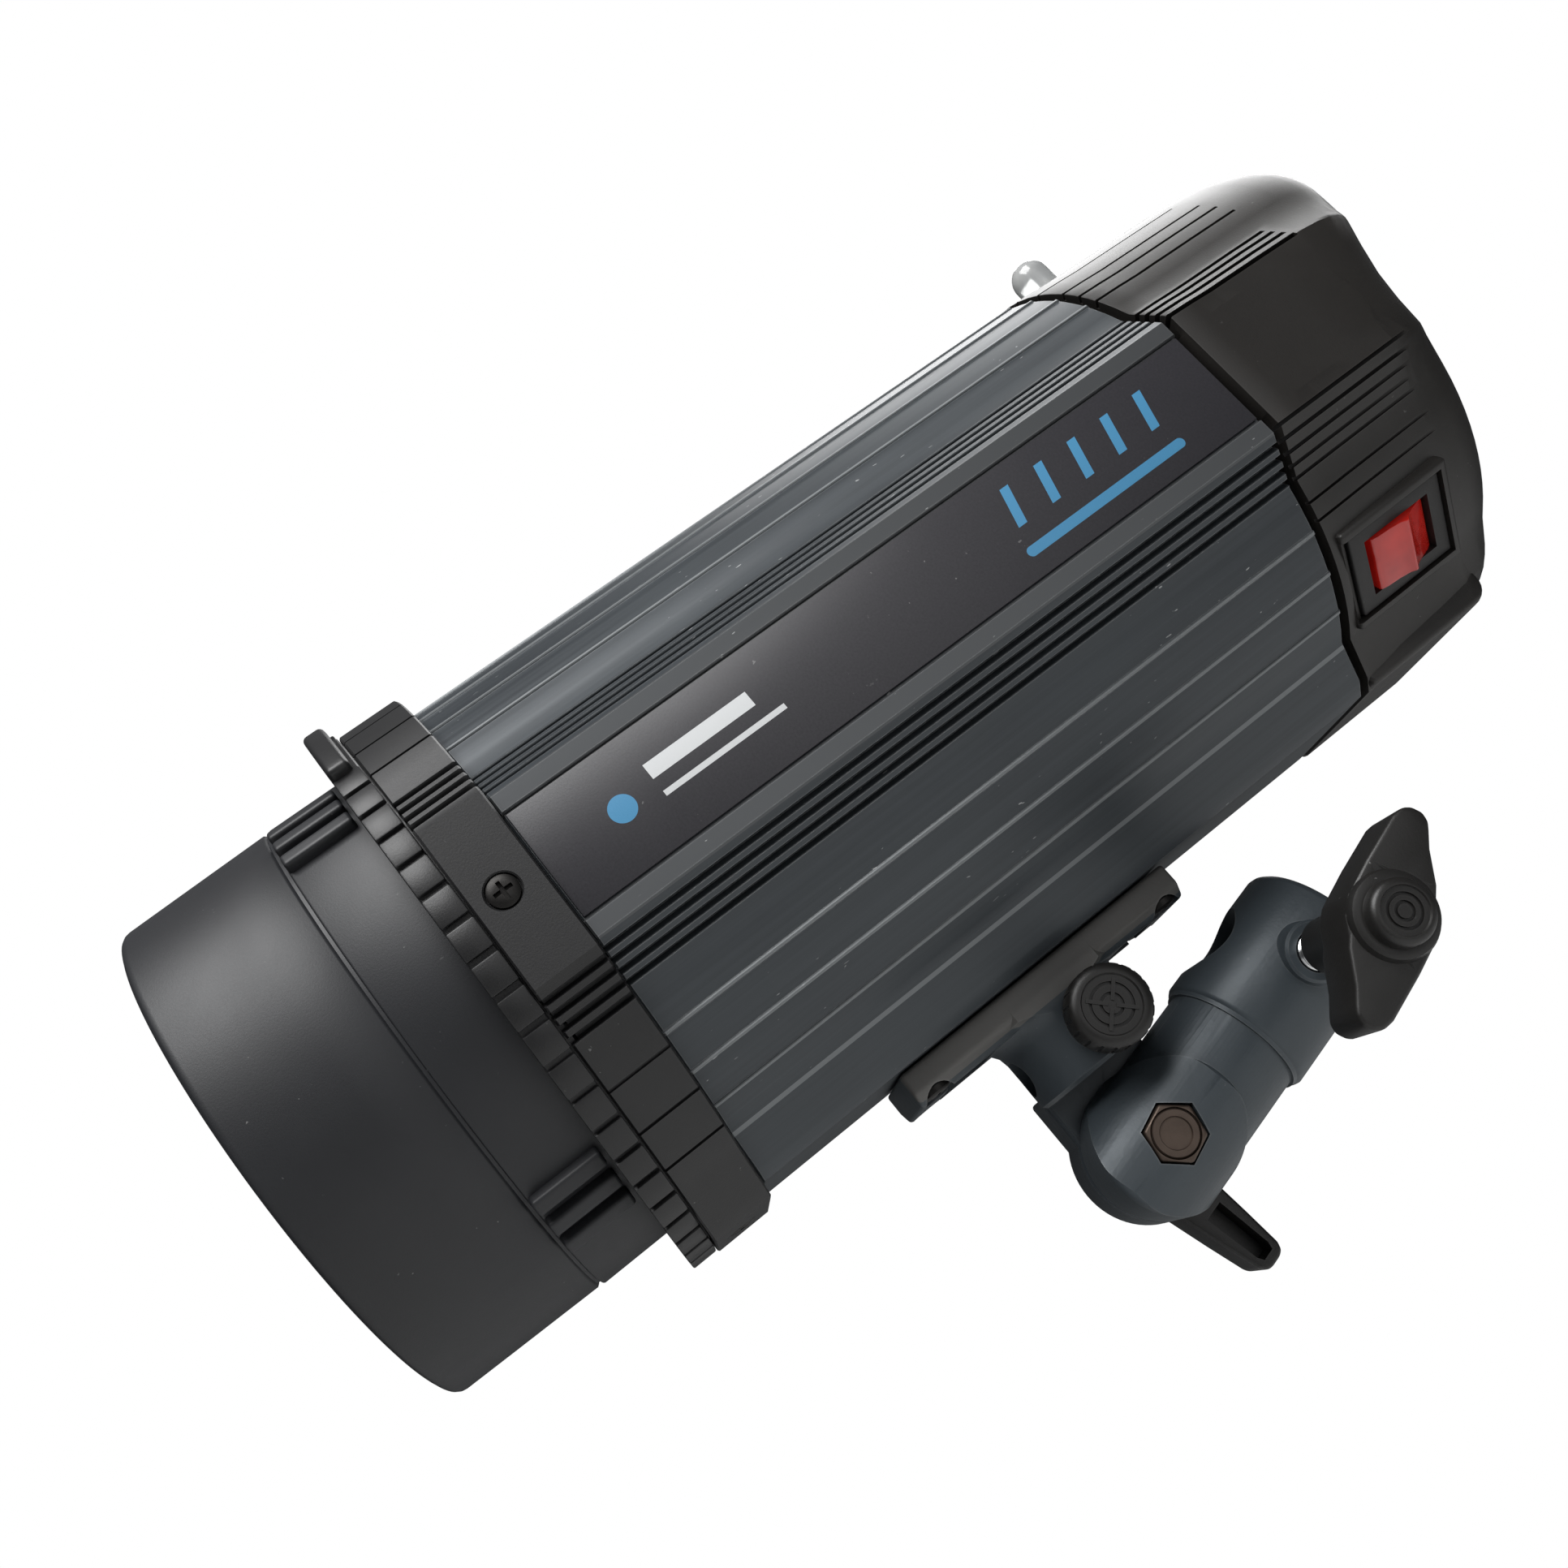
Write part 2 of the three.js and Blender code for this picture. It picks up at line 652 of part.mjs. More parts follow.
add('lamp_plate', lampPlate(), 'whitePlate');
add('lamp_socket', lampSocket(), 'ceramic');
add('lamp_base', lampBase(), 'nickel');
add('modelling_bulb', bulb(), 'frosted');
add('flash_socket_left', flashSocket(flashLegs[1]), 'ceramic');
add('flash_socket_right', flashSocket(flashLegs[0]), 'ceramic');
add('flash_tube', flashTube(), 'glass');

// ---------------------------------------------------------------- lock ring and protective cap

const lockFront = frontRingStart - gap - lockRingWidth;
const lockLipBack = noseFront - gap * 2 - 1.5;
const capEnd = noseFront - gap;
const lugFront = lockLipBack + gap;
const lugRadius = lockInner - gap - 0.2;
const firstLug = 90;

function lugAngles() {
  return Array.from({ length: lugCount }, (_, i) => firstLug + (360 / lugCount) * i);
}

function lockRing() {
  const pitch = 360 / toothCount;
  const notch = (toothGap / lockRingRadius) / degrees;
  const outline = [];
  for (let i = 0; i < toothCount; i += 1) {
    const start = pitch * i;
    outline.push(onCircle(lockRingRadius, start), onCircle(lockRingRadius, start + pitch - notch));
    outline.push(onCircle(lockRingRadius - toothDepth, start + pitch - notch / 2));
  }
  let ring = alongY(outline, lockFront, lockFront + lockRingWidth);
  const from = thumbTabAngle - thumbTabSpan / 2;
  const to = thumbTabAngle + thumbTabSpan / 2;
  ring = ring.add(ringPiece(lockRingRadius + thumbTabHeight, lockRingRadius - 2, from, to, lockFront,
    lockFront + lockRingWidth - 1));
  ring = ring.add(barY(lockSkirt, lockFront + 1, lockFront + lockLipDepth - gap, 0, 0, fine));
  ring = ring.subtract(barY(lockLipRadius, 0, 100, 0, 0, fine));
  ring = ring.subtract(barY(lockInner, lockLipBack, 100, 0, 0, fine));
  ring = ring.subtract(barY(lockPocket, noseFront - gap, noseFront + 1 + gap, 0, 0, fine));
  for (const angle of lugAngles()) {
    ring = ring.subtract(ringPiece(lockInner, lockLipRadius - 2, angle - slotSpan / 2, angle + slotSpan / 2,
      lockFront - 1, lockLipBack + 1));
  }
  return ring;
}

function frontCap() {
  const skirtEnd = capSkirtStart + capSkirtLength;
  const inner = capSkirtRadius - capWall;
  let cap = turned([
    [0, 0], [capRadius - capEdge, 0], [capRadius - capEdge * 0.3, capEdge * 0.3], [capRadius, capEdge],
    [capSkirtRadius - 0.4, capSkirtStart - 0.4], [capSkirtRadius - 0.8, capSkirtStart - 0.4],
    [capSkirtRadius - 0.8, capSkirtStart], [capSkirtRadius, capSkirtStart],
    [capSkirtRadius, capEnd], [inner, capEnd], [inner - 0.8, capWall + 2], [inner - 2.8, capWall], [0, capWall],
  ]);
  for (const centre of [capGripSpread, -capGripSpread, 180 + capGripSpread, 180 - capGripSpread]) {
    for (let i = 0; i < capRibCount; i += 1) {
      const middle = centre + capGripTwist + capRibPitch * (i - (capRibCount - 1) / 2);
      cap = cap.add(ringPiece(capGripRadius, capSkirtRadius - 1, middle - capRibSpan / 2, middle + capRibSpan / 2,
        capSkirtStart, skirtEnd, 2));
    }
  }
  for (const angle of lugAngles()) {
    cap = cap.add(ringPiece(lugRadius, capSkirtRadius - 1, angle - lugSpan / 2, angle + lugSpan / 2,
      lugFront, capEnd));
  }
  return cap;
}

add('lock_ring', lockRing(), 'blackPlastic');
add('front_cap', frontCap(), 'capPlastic');

// ---------------------------------------------------------------- electronics inside the tube

const boardBottom = chassisHeight + chassisThickness + boardStandoff;
const boardTop = boardBottom + boardThickness;
const partsFloor = boardTop + gap;
const coreY = boardEnd - 24;
const heatSinkX = boardHalf - heatSinkWidth - 1;

function chassis() {
  const lowCorner = Math.sqrt((caseBore - 0.5) ** 2 - chassisHeight ** 2);
  let plate = block(-lowCorner, lowCorner, chassisStart, chassisEnd, chassisHeight, chassisHeight + chassisThickness);
  const postX = boardHalf - 5;
  for (const x of [-postX, postX]) {
    for (const y of [boardStart + 5, boardEnd - 5]) {
      plate = plate.add(barZ(2.5, chassisHeight + 0.5, boardBottom - gap, x, y, 10));
    }
  }
  const wingHalf = chassisThickness / 2;
  for (const x of [-lowCorner / 2, lowCorner / 2]) {
    plate = plate.add(block(x - wingHalf, x + wingHalf, chassisStart, chassisStart + 40,
      -Math.sqrt((caseBore - 0.5) ** 2 - (lowCorner / 2 + wingHalf) ** 2), chassisHeight + 0.5));
  }
  return plate;
}

function transformerCore() {
  const half = coreWidth / 2;
  const window = (coreWidth - 3 * 8) / 2;
  const low = partsFloor;
  const middle = low + coreHeight / 2;
  let core = block(-half, half, coreY - coreDepth / 2, coreY + coreDepth / 2, low, low + coreHeight);
  for (const side of [-1, 1]) {
    const x = side * (4 + window / 2);
    core = core.subtract(block(x - window / 2, x + window / 2, 0, 300, middle - coreHeight / 2 + 6,
      middle + coreHeight / 2 - 6));
  }
  return core;
}

function transformerCoil() {
  const window = (coreWidth - 3 * 8) / 2;
  const middle = partsFloor + coreHeight / 2;
  const half = coreHeight / 2 - 6 - gap;
  const reach = 4 + window - gap;
  const legHalf = 4 + gap;
  const legDepth = coreDepth / 2 + gap;
  const overhang = coreDepth / 2 + window - gap;
  return alongZ(rectangle(reach, overhang, 0, coreY), middle - half, middle + half,
    [rectangle(legHalf, legDepth, 0, coreY)]);
}

function capacitor(side) {
  const x = side * (capacitorRadius + 1.2);
  const z = partsFloor + capacitorRadius;
  const start = boardStart + 3;
  return barY(capacitorRadius, start, start + capacitorLength, x, z, medium)
    .add(barY(capacitorRadius - 2, start - 1, start + 1, x, z, medium));
}

function heatSink() {
  const fin = heatSinkWidth / (2 * finCount - 1);
  const low = partsFloor;
  const points = [[heatSinkX, low], [heatSinkX + heatSinkWidth, low]];
  for (let i = finCount - 1; i >= 0; i -= 1) {
    const left = heatSinkX + 2 * fin * i;
    points.push([left + fin, low + heatSinkHeight], [left, low + heatSinkHeight]);
    if (i > 0) points.push([left, low + 3], [left - fin, low + 3]);
  }
  return alongY(points, coreY - heatSinkLength / 2, coreY + heatSinkLength / 2);
}

function triggerCoil() {
  const low = partsFloor;
  return block(-boardHalf + 2, -boardHalf + 16, coreY - 12, coreY + 8, low, low + 9)
    .add(barY(5.5, coreY - 10, coreY + 6, -boardHalf + 9, low + 12, coarse));
}

add('chassis', chassis(), 'aluminium');
add('main_board', block(-boardHalf, boardHalf, boardStart, boardEnd, boardBottom, boardTop), 'board');
add('flash_capacitor_left', capacitor(1), 'foil');
add('flash_capacitor_right', capacitor(-1), 'foil');
add('transformer_core', transformerCore(), 'ferrite');
add('transformer_coil', transformerCoil(), 'winding');
add('heat_sink', heatSink(), 'aluminium');
add('trigger_coil', triggerCoil(), 'nylon');

// ---------------------------------------------------------------- rear housing

const panelFront = panelY - panelThickness;
const ledgeInner = panelRadius - ledgeWidth;
const rimInner = panelRadius + gap;
const rearInner = caseRadius - rearWall;

function rimY(z) {
  const share = Math.min(Math.max((z - rimRiseStart) / rimRiseSpan, 0), 1);
  return rimLevel + rimRise * share * share * (3 - 2 * share);
}

// Rows of points round the axis, skinned into one closed ring-shaped solid.
function ringLoft(rows) {
  const count = rows[0].length;
  const positions = rows.flat(2);
  const index = [];
  for (let row = 0; row < rows.length; row += 1) {
    const next = (row + 1) % rows.length;
    for (let i = 0; i < count; i += 1) {
      const j = (i + 1) % count;
      const [a, b, c, d] = [row * count + i, row * count + j, next * count + j, next * count + i];
      index.push(a, c, b, a, d, c);
    }
  }
  const geometry = new THREE.BufferGeometry();
  geometry.setAttribute('position', new THREE.BufferAttribute(new Float32Array(positions), 3));
  geometry.setIndex(index);
  return solid(geometry);
}

function switchFrame(shape) {
  return placed(shape, 0, -switchAngle, [0, switchY, 0]);
}

function rearHousing() {
  const grown = (by) => caseOutline({
    round: caseRadius + by, pad: padFace + by, padEdge: padHalf, flankEdge: flankEdgeHalf,
    base: baseDrop + by, baseEdge: baseHalf, ribs: false, padPoints: [-0.5, 0, 0.5], basePoints: [0, 0.5],
  });
  const outline = grown(rearGrow);
  const ringAt = (inset, yOf) => outline.map(([x, z]) => {
    const radius = Math.hypot(x, z);
    const share = (radius - inset * (radius - rimRadius)) / radius;
    return [x * share, yOf(z), z * share];
  });
  const circleAt = (radius, yOf) => outline.map(([x, z]) => {
    const away = Math.hypot(x, z);
    const low = (z / away) * radius;
    return [(x / away) * radius, yOf(low), low];
  });
  const rows = [
    ringAt(0, () => rearStart), ringAt(0.12, () => rearStart + 14), ringAt(0.3, (z) => rimY(z) - 12),
    ringAt(0.62, (z) => rimY(z) - 3.5), ringAt(1, (z) => rimY(z)), circleAt(rimInner, (z) => rimY(z)),
    circleAt(rimInner, () => panelFront - gap), circleAt(ledgeInner, () => panelFront - gap),
    circleAt(ledgeInner, () => panelFront - 2.5), circleAt(rearInner, () => panelFront - 2.5),
    circleAt(rearInner, () => rearStart + 3), circleAt(spigotBore, () => rearStart + 3),
    circleAt(spigotBore, () => rearStart - spigotLength), circleAt(spigotRadius, () => rearStart - spigotLength),
    circleAt(spigotRadius, () => rearStart),
  ];
  let housing = ringLoft(rows);
  housing = housing.add(block(-footHalf, footHalf, rearStart + gap, rearStart + footLength, -baseDrop - rearGrow,
    -baseDrop - rearGrow + footHeight).subtract(barY(rearInner + 1, rearStart - 1, rearStart + footLength + 1, 0, 0, fine)));
  for (const [x, z] of panelScrewPlaces()) {
    const out = (panelScrewRadius + rearInner) / 2 / panelScrewRadius;
    housing = housing.add(barY(4, panelFront - 12, panelFront - gap * 2, x, z, 12));
    housing = housing.add(barY(4, panelFront - 12, panelFront - 2.5, x * out, z * out, 12));
    housing = housing.subtract(barY(1.6 + gap, panelFront - 9, panelFront + 1, x, z, 10));
  }
  const well = block(switchSeat - switchBodyDepth * 2, switchSeat + 9, -rockerLength / 2 - 1.4, rockerLength / 2 + 1.4,
    -rockerWidth / 2 - 1.4, rockerWidth / 2 + 1.4);
  const bed = block(switchSeat - gap, switchSeat + 9, -switchFrameLength / 2 - gap, switchFrameLength / 2 + gap,
    -switchFrameWidth / 2 - gap, switchFrameWidth / 2 + gap);
  housing = housing.subtract(switchFrame(well)).subtract(switchFrame(bed));
  return housing.subtract(barZ(domeRadius + gap, 40, 75, 0, domeY, coarse));
}

function panelScrewPlaces() {
  return [panelScrewAngle, 180 - panelScrewAngle, 180 + panelScrewAngle, -panelScrewAngle]
    .map((angle) => onCircle(panelScrewRadius, angle));
}

add('rear_housing', rearHousing(), 'rearPlastic');

// ---------------------------------------------------------------- control panel

const slideSwitchHalf = [2.2, 5.5];

function rearPanel() {
  let panel = barY(panelRadius, panelFront, panelY, 0, 0, fine);
  const open = (shape) => { panel = panel.subtract(shape); };
  const through = (radius, x, z, sides = coarse) => open(barY(radius, panelFront - 1, panelY + 1, x, z, sides));
  for (const x of [-dialOffset, dialOffset]) through(3 + gap, x, dialLevel);
  through(testButtonRadius + gap, 0, testButtonLevel);
  through(readyLampRadius + gap, 0, readyLampLevel, 12);
  through(jackRadius - 1 + gap, -dialOffset, lowControlLevel);
  through(fuseRadius - 1 + gap, dialOffset, lowControlLevel);
  for (const [x, z] of panelScrewPlaces()) through(1.6 + gap, x, z, 10);
  const inletRoom = gap - 1;
  open(alongY(rectangle(inletHalfWidth + inletRoom, inletHalfHeight + inletRoom, 0, inletLevel),
    panelFront - 1, panelY + 1));
  open(alongY(rectangle(slideSwitchHalf[0] + gap, slideSwitchHalf[1] + gap, -slideSwitchX, dialLevel),
    panelFront - 1, panelY + 1));
  const slotHalf = 1.2;
  const slotCount = 5;
  for (let i = 0; i < slotCount; i += 1) {
    const z = fanHeight + (i - (slotCount - 1) / 2) * 6.4;
    const half = Math.sqrt((fanSize / 2 - 2) ** 2 - (z - fanHeight) ** 2);
    open(alongY(rectangle(half, slotHalf, 0, z), panelFront - 1, panelY + 1));
  }
  return panel;
}

function dial(x) {
  const start = panelY + gap + 0.4;
  const skirt = barY(dialRadius, start, start + 3, x, dialLevel, medium);
  const grip = barY(dialRadius - 1.6, start + 2, start + dialHeight, x, dialLevel, 18);
  const shaft = barY(3, panelFront - 11.4, start + 1, x, dialLevel, 12);
  const pointer = block(x - 0.7, x + 0.7, start + dialHeight - 1, start + dialHeight + 0.6,
    dialLevel + 1, dialLevel + dialRadius - 2.4);
  return skirt.add(grip).add(shaft).add(pointer);
}

function testButton() {
  const z = testButtonLevel;
  return barY(testButtonRadius, panelFront - 1, panelY + 2.6, 0, z, coarse)
    .add(barY(testButtonRadius + 1.2, panelFront - 3, panelFront - gap - testButtonTravel, 0, z, coarse))
    .add(barY(testButtonRadius, panelFront - 2, panelFront, 0, z, coarse));
}

function readyLamp() {
  return turned([[0, panelFront - 2], [readyLampRadius, panelFront - 2], [readyLampRadius, panelY + 0.6],
    [readyLampRadius * 0.7, panelY + 1.8], [0, panelY + 2.2]], 12).translate([0, 0, readyLampLevel]);
}

function syncJack() {
  const [x, z] = [-dialOffset, lowControlLevel];
  return barY(jackRadius - 1, panelFront - 10, panelY + 1, x, z)
    .add(barY(jackRadius, panelY + gap, panelY + 2.8, x, z, 6))
    .subtract(barY(1.8, panelFront - 7, panelY + 3, x, z, 12));
}

function fuseCap() {
  const [x, z] = [dialOffset, lowControlLevel];
  return barY(fuseRadius, panelY + gap + 1.5, panelY + 8, x, z, coarse)
    .subtract(block(x - fuseRadius, x + fuseRadius, panelY + 7, panelY + 9, z - 0.8, z + 0.8))
    .add(barY(fuseRadius - 3, panelFront - 7, panelY + 3, x, z, 12));
}

function fuseHolder() {
  const [x, z] = [dialOffset, lowControlLevel];
  return barY(fuseRadius - 1, panelFront - 12, panelY + 1, x, z, coarse)
    .add(barY(fuseRadius + 0.6, panelY + gap, panelY + 1.5, x, z, coarse))
    .subtract(barY(fuseRadius - 3 + gap, panelFront - 8, panelY + 3, x, z, 12));
}

function mainsInlet() {
  const flange = alongY(rectangle(inletHalfWidth, inletHalfHeight, 0, inletLevel), panelY + gap, panelY + 2.5);
  const body = alongY(rectangle(inletHalfWidth - 1, inletHalfHeight - 1, 0, inletLevel), panelY - inletDepth, panelY + 1);
  const cavityHalf = [inletHalfWidth - 2.6, inletHalfHeight - 2.6];
  const corner = 4;
  const [w, h] = cavityHalf;
  const cavity = alongY([[-w, inletLevel - h], [w, inletLevel - h], [w, inletLevel + h - corner],
    [w - corner, inletLevel + h], [-w + corner, inletLevel + h], [-w, inletLevel + h - corner]],
  panelY - inletDepth + 2, panelY + 3);
  let inlet = flange.add(body).subtract(cavity);
  for (const [x, z] of [[-7, -1.6], [0, 2.2], [7, -1.6]]) {
    inlet = inlet.add(alongY(rectangle(1, 2, x, inletLevel + z), panelY - inletDepth + 1, panelY - 3));
  }
  return inlet;
}

function slaveSwitch() {
  const [halfX, halfZ] = slideSwitchHalf;
  return alongY(rectangle(halfX, halfZ, -slideSwitchX, dialLevel), panelFront - 5, panelY - 0.8)
    .subtract(alongY(rectangle(halfX - 0.7, halfZ - 0.7, -slideSwitchX, dialLevel), panelY - 3, panelY));
}

function slaveSwitchKnob() {
  const [halfX, halfZ] = slideSwitchHalf;
  const knobHalf = 1.6;
  const z = dialLevel - halfZ + 0.7 + knobHalf + gap;
  return alongY(rectangle(halfX - 0.7 - gap, knobHalf, -slideSwitchX, z), panelY - 3 + gap, panelY + 1.6);
}

function controlBoard() {
  const front = panelFront - 12;
  const right = panelScrewRadius - 2.5;
  const left = -right;
  const high = fanHeight - fanSize / 2 - 1;
  const low = inletLevel + inletHalfHeight + 1;
  let board = alongY([[left, low], [right, low], [right, high], [left, high]], front - boardThickness, front - gap);
  return board;
}

function panelScrew([x, z]) {
  return barY(3, panelY + gap, panelY + 1.8, x, z, 12).add(barY(1.6, panelFront - 8, panelY + 1, x, z, 10));
}

add('rear_panel', rearPanel(), 'rearPlastic');
add('output_dial', dial(dialOffset), 'knobPlastic');
add('lamp_dial', dial(-dialOffset), 'knobPlastic');
add('test_button', testButton(), 'redLens');
add('ready_lamp', readyLamp(), 'greenLens');
add('sync_jack', syncJack(), 'steel');
add('fuse_holder', fuseHolder(), 'blackPlastic');
add('fuse_cap', fuseCap(), 'blackPlastic');
add('mains_inlet', mainsInlet(), 'blackPlastic');
add('slave_switch', slaveSwitch(), 'blackPlastic');
add('slave_switch_knob', slaveSwitchKnob(), 'whiteMark');
add('control_board', controlBoard(), 'board');
panelScrewPlaces().forEach((place, i) => add(`panel_screw_${i + 1}`, panelScrew(place), 'blackSteel'));

// ---------------------------------------------------------------- cooling fan

const fanBack = panelFront - gap;
const fanFront = fanBack - fanDepth;
const fanBore = fanSize / 2 - 1.5;
const fanHub = 8;

function fanFrame() {
  const half = fanSize / 2;
  let frame = alongY(rectangle(half, half, 0, fanHeight), fanFront, fanBack, [circle(fanBore, medium, 0, fanHeight)]);
  const strut = (turn) => placed(block(-fanBore - 0.5, fanBore + 0.5, 0, 1.6, -1, 1), 0, turn, [0, fanFront, fanHeight]);
  frame = frame.add(strut(45)).add(strut(-45)).add(barY(fanHub - 1, fanFront, fanFront + 1.6, 0, fanHeight, coarse));
  return frame;
}

function fanRotor() {
  const start = fanFront + 1.6 + gap;
  const end = fanBack - 1;
  let rotor = barY(fanHub, start, end, 0, fanHeight, coarse);
  const blade = placed(block(fanHub - 1.5, fanBore - 0.8, -3.1, 3.1, -0.5, 0.5).rotate([32, 0, 0]), 0, 0);
  for (let i = 0; i < fanBladeCount; i += 1) {
    rotor = rotor.add(placed(blade, 0, (360 / fanBladeCount) * i, [0, (start + end) / 2, fanHeight]));
  }
  return rotor;
}

add('fan_frame', fanFrame(), 'blackPlastic');
add('fan_rotor', fanRotor(), 'blackPlastic');

// ---------------------------------------------------------------- power switch and sensor dome

const rockerPivot = switchSeat - 3.4;
const frameTop = switchSeat + 1.6;

function powerSwitchFrame() {
  const bezel = block(switchSeat, frameTop, -switchFrameLength / 2, switchFrameLength / 2,
    -switchFrameWidth / 2, switchFrameWidth / 2);
  const body = block(switchSeat - switchBodyDepth, switchSeat + 0.5, -rockerLength / 2 - 1.1, rockerLength / 2 + 1.1,
    -rockerWidth / 2 - 1.1, rockerWidth / 2 + 1.1);
  const well = block(switchSeat - 8, frameTop + 1, -rockerLength / 2 - gap, rockerLength / 2 + gap,
    -rockerWidth / 2 - gap, rockerWidth / 2 + gap);
  return switchFrame(bezel.add(body).subtract(well));
}

// A rocker with a low ridge across its middle, tipped towards its front end.
function powerRocker() {
  const half = rockerLength / 2 - 0.5;
  const ridge = frameTop + 2.4;
  const profile = [[rockerPivot - 2, -3], [rockerPivot - 2, 3], [rockerPivot + 0.6, half - 1],
    [frameTop + 0.2, half], [frameTop + 1, half - 0.8], [ridge, 0], [frameTop + 1, -half + 0.8],
    [frameTop + 0.2, -half], [rockerPivot + 0.6, -half + 1]];
  const rocker = alongZ(profile.slice().reverse(), -rockerWidth / 2, rockerWidth / 2);
  const tip = 6;
  const tipped = rocker.translate([-rockerPivot, 0, 0]).rotate([0, 0, tip]).translate([rockerPivot, 0, 0]);
  return switchFrame(tipped);
}

function sensorDome() {
  const steps = 4;
  const bottom = rearInner - 0.8;
  const profile = [[0, bottom], [domeRadius, bottom]];
  for (let i = 0; i <= steps; i += 1) {
    const angle = (i / steps) * 90 * degrees;
    profile.push([i === steps ? 0 : domeRadius * Math.cos(angle), domeCentre + domeRadius * Math.sin(angle)]);
  }
  return turned(profile, coarse).rotate([90, 0, 0]).translate([0, domeY, 0]);
}

add('power_switch_frame', powerSwitchFrame(), 'blackPlastic');
add('power_rocker', powerRocker(), 'redLens');
add('slave_sensor_dome', sensorDome(), 'dome');

// ---------------------------------------------------------------- bracket under the case

const pivotZ = -pivotDrop;
const blockY = pivotY + blockShift;
const washerFar = knucklePlane - gap - washerThickness;
const knuckleNear = washerFar - gap;
const umbrellaY = pivotY + umbrellaKnobShift;
const umbrellaZ = -umbrellaDrop;

function tiltBracket() {
  const [half, low, c] = [railHalf, railBottom, railChamfer];
  const section = [[-half + c, low], [half - c, low], [half, low + c], [half, railTop], [-half, railTop], [-half, low + c]];
  let casting = alongY(section, railCentreY - railLength / 2, railCentreY + railLength / 2);
  casting = casting.add(barZ(blockRadius, -blockDrop, railTop - 2, 0, blockY, medium));
  casting = casting.add(barX(umbrellaKnobRadius - 1, 2, blockRadius + 0.2, umbrellaY, umbrellaZ));
  casting = casting.add(block(knuckleFar, knuckleNear, pivotY - neckHalf, pivotY + neckHalf, pivotZ, -blockDrop + 2));
  casting = casting.add(barX(knuckleRadius, knuckleFar, knuckleNear, pivotY, pivotZ, medium));
  casting = casting.subtract(barX(boltRadius + gap, knuckleFar - 1, knuckleNear + 1, pivotY, pivotZ));
  casting = casting.subtract(barY(umbrellaHoleRadius, blockY - blockRadius - 2, blockY + blockRadius + 2, 0, umbrellaZ));
  casting = casting.subtract(barX(umbrellaScrewRadius + gap, 0, blockRadius + 2, umbrellaY, umbrellaZ, 12));
  for (const [, x, y] of railScrews) {
    casting = casting.subtract(barZ(railScrewClear, railBottom - 1, railTop + 1, x, y, 10));
    casting = casting.subtract(barZ(railScrewHeadRadius + gap, railBottom - 1, railBottom + 2.8, x, y, 12));
  }
  return casting;
}

function railScrew(x, y) {
  return barZ(railScrewHeadRadius, railBottom + 0.3, railBottom + 2.8 - gap, x, y, 12)
    .add(barZ(railScrewRadius, railBottom + 1, railScrewTop, x, y, 10));
}

add('tilt_bracket', tiltBracket(), 'castPaint');
for (const [name, x, y] of railScrews) add(name, railScrew(x, y), 'blackSteel');

const umbrellaKnobBack = blockRadius + 0.2 + umbrellaKnobTravel + gap;

function umbrellaKnob() {
  const end = umbrellaKnobBack + umbrellaKnobLength;
  return barX(umbrellaKnobRadius, umbrellaKnobBack, end, umbrellaY, umbrellaZ, medium)
    .subtract(barX(umbrellaScrewRadius + gap, umbrellaKnobBack - 1, end - 2, umbrellaY, umbrellaZ, 12));
}

function umbrellaScrew() {
  return barX(umbrellaScrewRadius, umbrellaHoleRadius + 0.5, umbrellaKnobBack + umbrellaKnobLength - 2 - gap,
    umbrellaY, umbrellaZ, 12);
}

add('umbrella_knob', umbrellaKnob(), 'knobPlastic');
add('umbrella_screw', umbrellaScrew(), 'steel');
add('tilt_washer', barX(knuckleRadius - 2, washerFar, knucklePlane - gap, pivotY, pivotZ, medium)
  .subtract(barX(boltRadius + gap, washerFar - 1, knucklePlane, pivotY, pivotZ)), 'nylon');

// ---------------------------------------------------------------- stand receiver

// The receiver is laid out with its pivot at the origin and its socket along +Y, then folded up.
const receiver = new THREE.Group();
receiver.position.set(0, pivotY, pivotZ);
receiver.rotation.x = foldAngle * degrees;
light.add(receiver);

const boltHeadFace = knuckleRadius - 0.6;

function hexagon(across) {
  const corner = across / Math.sqrt(3);
  return Array.from({ length: 6 }, (_, i) => [
    corner * Math.cos((i * 60 + 8) * degrees), corner * Math.sin((i * 60 + 8) * degrees)]);
}

function standReceiver() {
  const knuckle = barX(knuckleRadius, knucklePlane, knuckleRadius, 0, 0, 32)
    .intersect(barY(knuckleRadius, -knuckleRadius - 1, knuckleRadius + 1, 0, 0, 32));
  let body = barY(armRadius, 0, collarStart + 1, 0, 0, 32);
  body = body.subtract(block(-armRadius - 1, knucklePlane, -1, armStep, -armRadius - 1, armRadius + 1));
  body = body.add(knuckle);
  body = body.add(turned([[0, collarStart], [collarRadius, collarStart], [collarRadius, socketReach - collarChamfer],
    [collarRadius - collarChamfer, socketReach], [0, socketReach]], 32));
  body = body.add(placed(barX(lockBossRadius, socketRadius + 2, lockBossFace, 0, 0, coarse), 0, lockTwist,
    [0, lockReach, 0]));
  body = body.subtract(barY(socketRadius, socketReach - socketDepth, socketReach + 1, 0, 0, medium));
  body = body.subtract(barZ(socketRadius, 0, collarRadius + 2, 0, crossHoleReach, medium));
  body = body.subtract(placed(barX(lockScrewRadius + gap, 0, lockBossFace + 1, 0, 0, coarse), 0, lockTwist,
    [0, lockReach, 0]));
  body = body.subtract(barX(boltRadius + gap, knucklePlane - 1, knuckleRadius + 1));
  return body.subtract(alongX(hexagon(hexAcross + 2 * gap), boltHeadFace - hexPocketDepth, knuckleRadius + 1));
}

